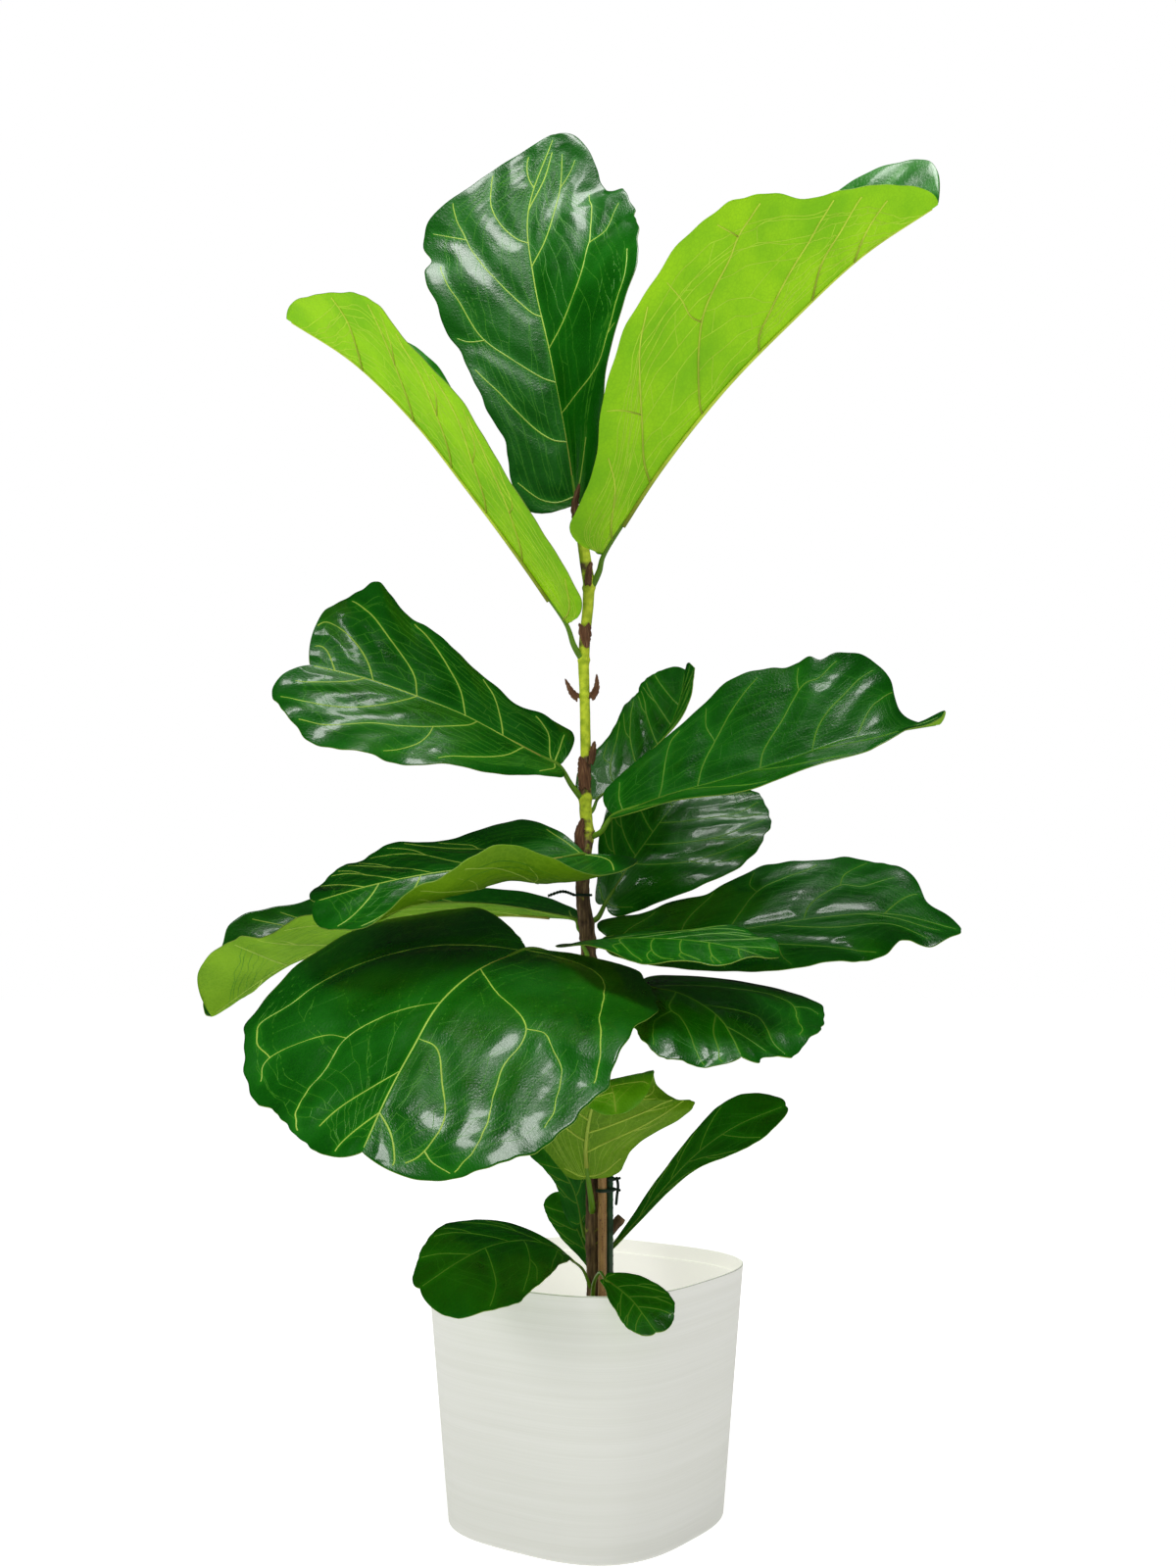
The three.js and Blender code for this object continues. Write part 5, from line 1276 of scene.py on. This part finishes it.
def leaf_piece(name, leaf, vein_skin):
    """One leaf: its blade as a closed shell, its veins and its stalk."""
    rows, columns = SMALL_BLADE_GRID if leaf["small"] else BLADE_GRID
    size = SMALL_LEAF_SIZE if leaf["small"] else 1
    curves = vein_curves(leaf)
    curve_u = np.concatenate([u for order, u, v in curves])
    curve_v = np.concatenate([v for order, u, v in curves])
    curve_order = np.repeat([order for order, u, v in curves], [len(u) for order, u, v in curves])
    curve_points, curve_normals, _ = blade(leaf, curve_u, curve_v)
    u, v = blade_grid(rows, columns)
    points, normals, place = blade(leaf, u, v)
    from_main = distance_to(points, curve_points[curve_order < RUNG])
    from_fine = distance_to(points, curve_points[curve_order >= RUNG])

    def puffed(distance, across):
        """How far the blade puffs up at a distance from its main veins, in millimetres."""
        return size * PUFF * smooth_rise(distance, VEIN_VALLEY, PUFF_WIDTH) * (1 - np.abs(across) ** 8)

    fine_puff = (size * FINE_PUFF * smooth_rise(from_fine, FINE_VALLEY, FINE_PUFF_WIDTH)
                 * (1 - np.abs(v) ** 8))
    points = points + normals * (puffed(from_main, v) + fine_puff)[:, None]
    curve_puff = puffed(distance_to(curve_points, curve_points[curve_order < RUNG]), curve_v)
    curve_points = curve_points + curve_normals * np.where(curve_order < RUNG, 0, curve_puff)[:, None]

    # The stalk, and then each vein: its line of points, their radius and place in its colours, its order.
    stalk = leaf["stalk"] + [tuple(leaf["rib"][0]), tuple(along(leaf["rib"], STALK_REACH)[0])]
    taper = 1 - STALK_TAPER * np.linspace(0, 1, STALK_POINTS)
    drawn = [(along(stalk, np.linspace(0, 1, STALK_POINTS)), leaf["stalk_radius"] * taper,
              np.zeros(STALK_POINTS), MIDRIB)]
    half_thick = BLADE_THICKNESS / 2
    first = 0
    for order, line_u, line_v in curves:
        last = first + len(line_u)
        share = np.linspace(0, 1, len(line_u))
        thick = size ** 0.5 * vein_radius(leaf, order, share)
        above = half_thick + vein_rise(leaf, order, thick) - thick
        line = curve_points[first:last] + curve_normals[first:last] * above[:, None]
        tone = vein_tone(leaf, order, share)
        skipped = UNDER_STALK_POINTS if order == MIDRIB else 0
        drawn.append((line[skipped:], thick[skipped:], tone[skipped:], order))
        first = last

    shell = [points + normals * half_thick, points - normals * half_thick]
    shell_count = 2 * len(points)
    faces, kinds = shell_faces(rows, columns)
    edges = []
    start = shell_count
    for line, _, _, _ in drawn:
        edges += [(start + i, start + i + 1) for i in range(len(line) - 1)]
        start += len(line)
    line_count = start - shell_count
    mesh = bpy.data.meshes.new(name)
    mesh.from_pydata((np.concatenate(shell + [line for line, _, _, _ in drawn]) * MM).tolist(),
                     edges, faces.tolist())
    for material in LEAF_FINISHES[leaf["finish"]][:3]:
        mesh.materials.append(material)
    mesh.polygons.foreach_set("material_index", kinds)
    mesh.polygons.foreach_set("use_smooth", np.ones(len(kinds), bool))
    bare = np.zeros(shell_count)
    beside = np.exp(-(from_main / 3.2) ** 2) * 0.55 + np.exp(-(from_fine / 2.2) ** 2) * 0.18
    line_orders = [np.full(len(line), float(order)) for line, _, _, order in drawn]
    for key, values in (
            ("tube_radius", np.concatenate([bare] + [thick for _, thick, _, _ in drawn]) * MM),
            ("vein_share", np.concatenate([bare] + [tone for _, _, tone, _ in drawn])),
            ("vein_order", np.concatenate([bare] + line_orders)),
            ("beside_vein", np.concatenate([beside, beside, np.zeros(line_count)]))):
        mesh.attributes.new(key, "FLOAT", "POINT").data.foreach_set("value", values)
    places = np.concatenate([place, place, np.zeros((line_count, 3))]) * MM + leaf["seed"] * 0.37
    mesh.attributes.new("blade_place", "FLOAT_VECTOR", "POINT").data.foreach_set("vector", places.ravel())
    drawing = bpy.data.objects.new(name + "_drawing", mesh)
    bpy.context.scene.collection.objects.link(drawing)
    piece = grown_by(tubes_tree, drawing, name, Sides=TUBE_SIDES, Vein_finish=vein_skin)
    bpy.data.objects.remove(drawing)
    return piece


for seed, (name, leaf) in enumerate(LEAVES.items()):
    small = leaf.setdefault("small", False)
    leaf["seed"] = seed + 1
    leaf["length"] = rib_length(leaf["rib"], LEAF_RIB_POINTS)
    leaf["uneven"] = SMALL_UNEVEN if small else UNEVEN
    leaf["rungs"] = SMALL_RUNGS if small else RUNGS
    leaf["lobes"] = LOBES.get(name, [])
    leaf["veins"] = VEINS[name] if name in VEINS else (usual_veins(leaf, 0), usual_veins(leaf, 1))
    vein_skin = faint_veins if name in FAINT_VEINED else LEAF_FINISHES[leaf["finish"]][3]
    piece = leaf_piece(name + "_veined", leaf, vein_skin)
    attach(piece, "root")
    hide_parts(name)


# ---- The sheaths ----
# Papery brown scales that once wrapped each bud, dried at the leaf scars and curled round the trunk.
# Each is one thin shell, pressed to the bark by its lower end.

SHEATHS = {
    "sheath_bud": dict(
        rib=[(-8, -6, 880), (-11, -7, 898), (-7, -9, 919)], face=[(0.1, -1, 0.1)],
        half=[(4, 4), (4, 4), (2, 2)], lift=[(-30, -30)]),
    "sheath_top_right": dict(
        rib=[(1, -8, 826), (2, -9, 836), (4, -10, 846)], face=[(0, -1, 0.1)], half=[(4, 4), (4, 3), (2, 2)],
        lift=[(-30, -30)]),
    "sheath_top_left": dict(
        rib=[(-2, -7.5, 786), (-1, -7.5, 776), (0, -7, 767)], face=[(0, -1, 0)],
        half=[(8, 8), (5, 5), (1.5, 1.5)], lift=[(-32, -32)]),
    "sheath_horn_left": dict(
        rib=[(-8.5, -1, 722), (-14, -1, 728), (-20, 0, 740)], face=[(-0.3, -0.9, 0.3)],
        half=[(4, 4), (3, 3), (1, 1)], lift=[(15, 15)]),
    "sheath_horn_right": dict(
        rib=[(4, -2, 722), (8.5, -2, 731), (9, -2, 744)], face=[(0.3, -0.9, 0.1)],
        half=[(4, 4), (3, 3), (1, 1)], lift=[(15, 15)]),
    "sheath_node": dict(
        rib=[(-2, -8, 640), (-3, -8.5, 654), (-6, -8.5, 668)], face=[(0, -1, 0.1)],
        half=[(6, 6), (6, 7), (2, 2)], lift=[(-32, -32)]),
    "sheath_chip": dict(
        rib=[(4, -4, 662), (5.5, -5, 671), (7, -6, 682)], face=[(0.6, -0.8, 0)],
        half=[(3, 3), (4, 4), (1.5, 1.5)], lift=[(-10, -10)]),
    "sheath_low": dict(
        rib=[(-7.5, -6.5, 584), (-8, -7, 598), (-4, -8.5, 612)], face=[(-0.5, -0.85, 0)],
        half=[(5, 5), (6, 6), (2, 2)], lift=[(-30, -30)]),
}

SHEATH_THICKNESS = 0.7
SHEATH_GRID = (30, 17)
SHEATH_RIB_POINTS = 30
SHEATH_UNEVEN = 0.35
SHEATH_SCALLOP = 0.14
FIRST_SHEATH_SEED = 30
sheath_finish, sheath_tree, sheath_shader = new_finish("papery_sheath", 0.7, Specular_IOR_Level=0.3)
fibre_place = stretched(sheath_tree, attribute_of(sheath_tree, "blade_place", "Vector"), (90, 1300, 1))
fibres = cloudy(sheath_tree, fibre_place, 1.0, 4.0)
sheath_colour = ramp(sheath_tree, fibres, (0.3, (0.035, 0.012, 0.006)), (0.52, (0.13, 0.055, 0.022)),
                     (0.75, (0.30, 0.17, 0.075)))
paint(sheath_tree, sheath_shader, sheath_colour)
bump(sheath_tree, sheath_shader, fibres, 0.5 * MM)
for seed, (name, sheath) in enumerate(SHEATHS.items()):
    sheath.update(seed=seed + FIRST_SHEATH_SEED, uneven=SHEATH_UNEVEN, scallop=SHEATH_SCALLOP,
                  length=rib_length(sheath["rib"], SHEATH_RIB_POINTS))
    points, normals, place = blade(sheath, *blade_grid(*SHEATH_GRID))
    faces, kinds = shell_faces(*SHEATH_GRID)
    half_sheath = SHEATH_THICKNESS / 2
    shell = np.concatenate([points + normals * half_sheath, points - normals * half_sheath]) * MM
    piece = new_piece(name + "_papery", shell, faces, [sheath_finish])
    piece.data.attributes.new("blade_place", "FLOAT_VECTOR", "POINT").data.foreach_set(
        "vector", (np.concatenate([place, place]) * MM).ravel())
    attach(piece, "root")
    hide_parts(name)
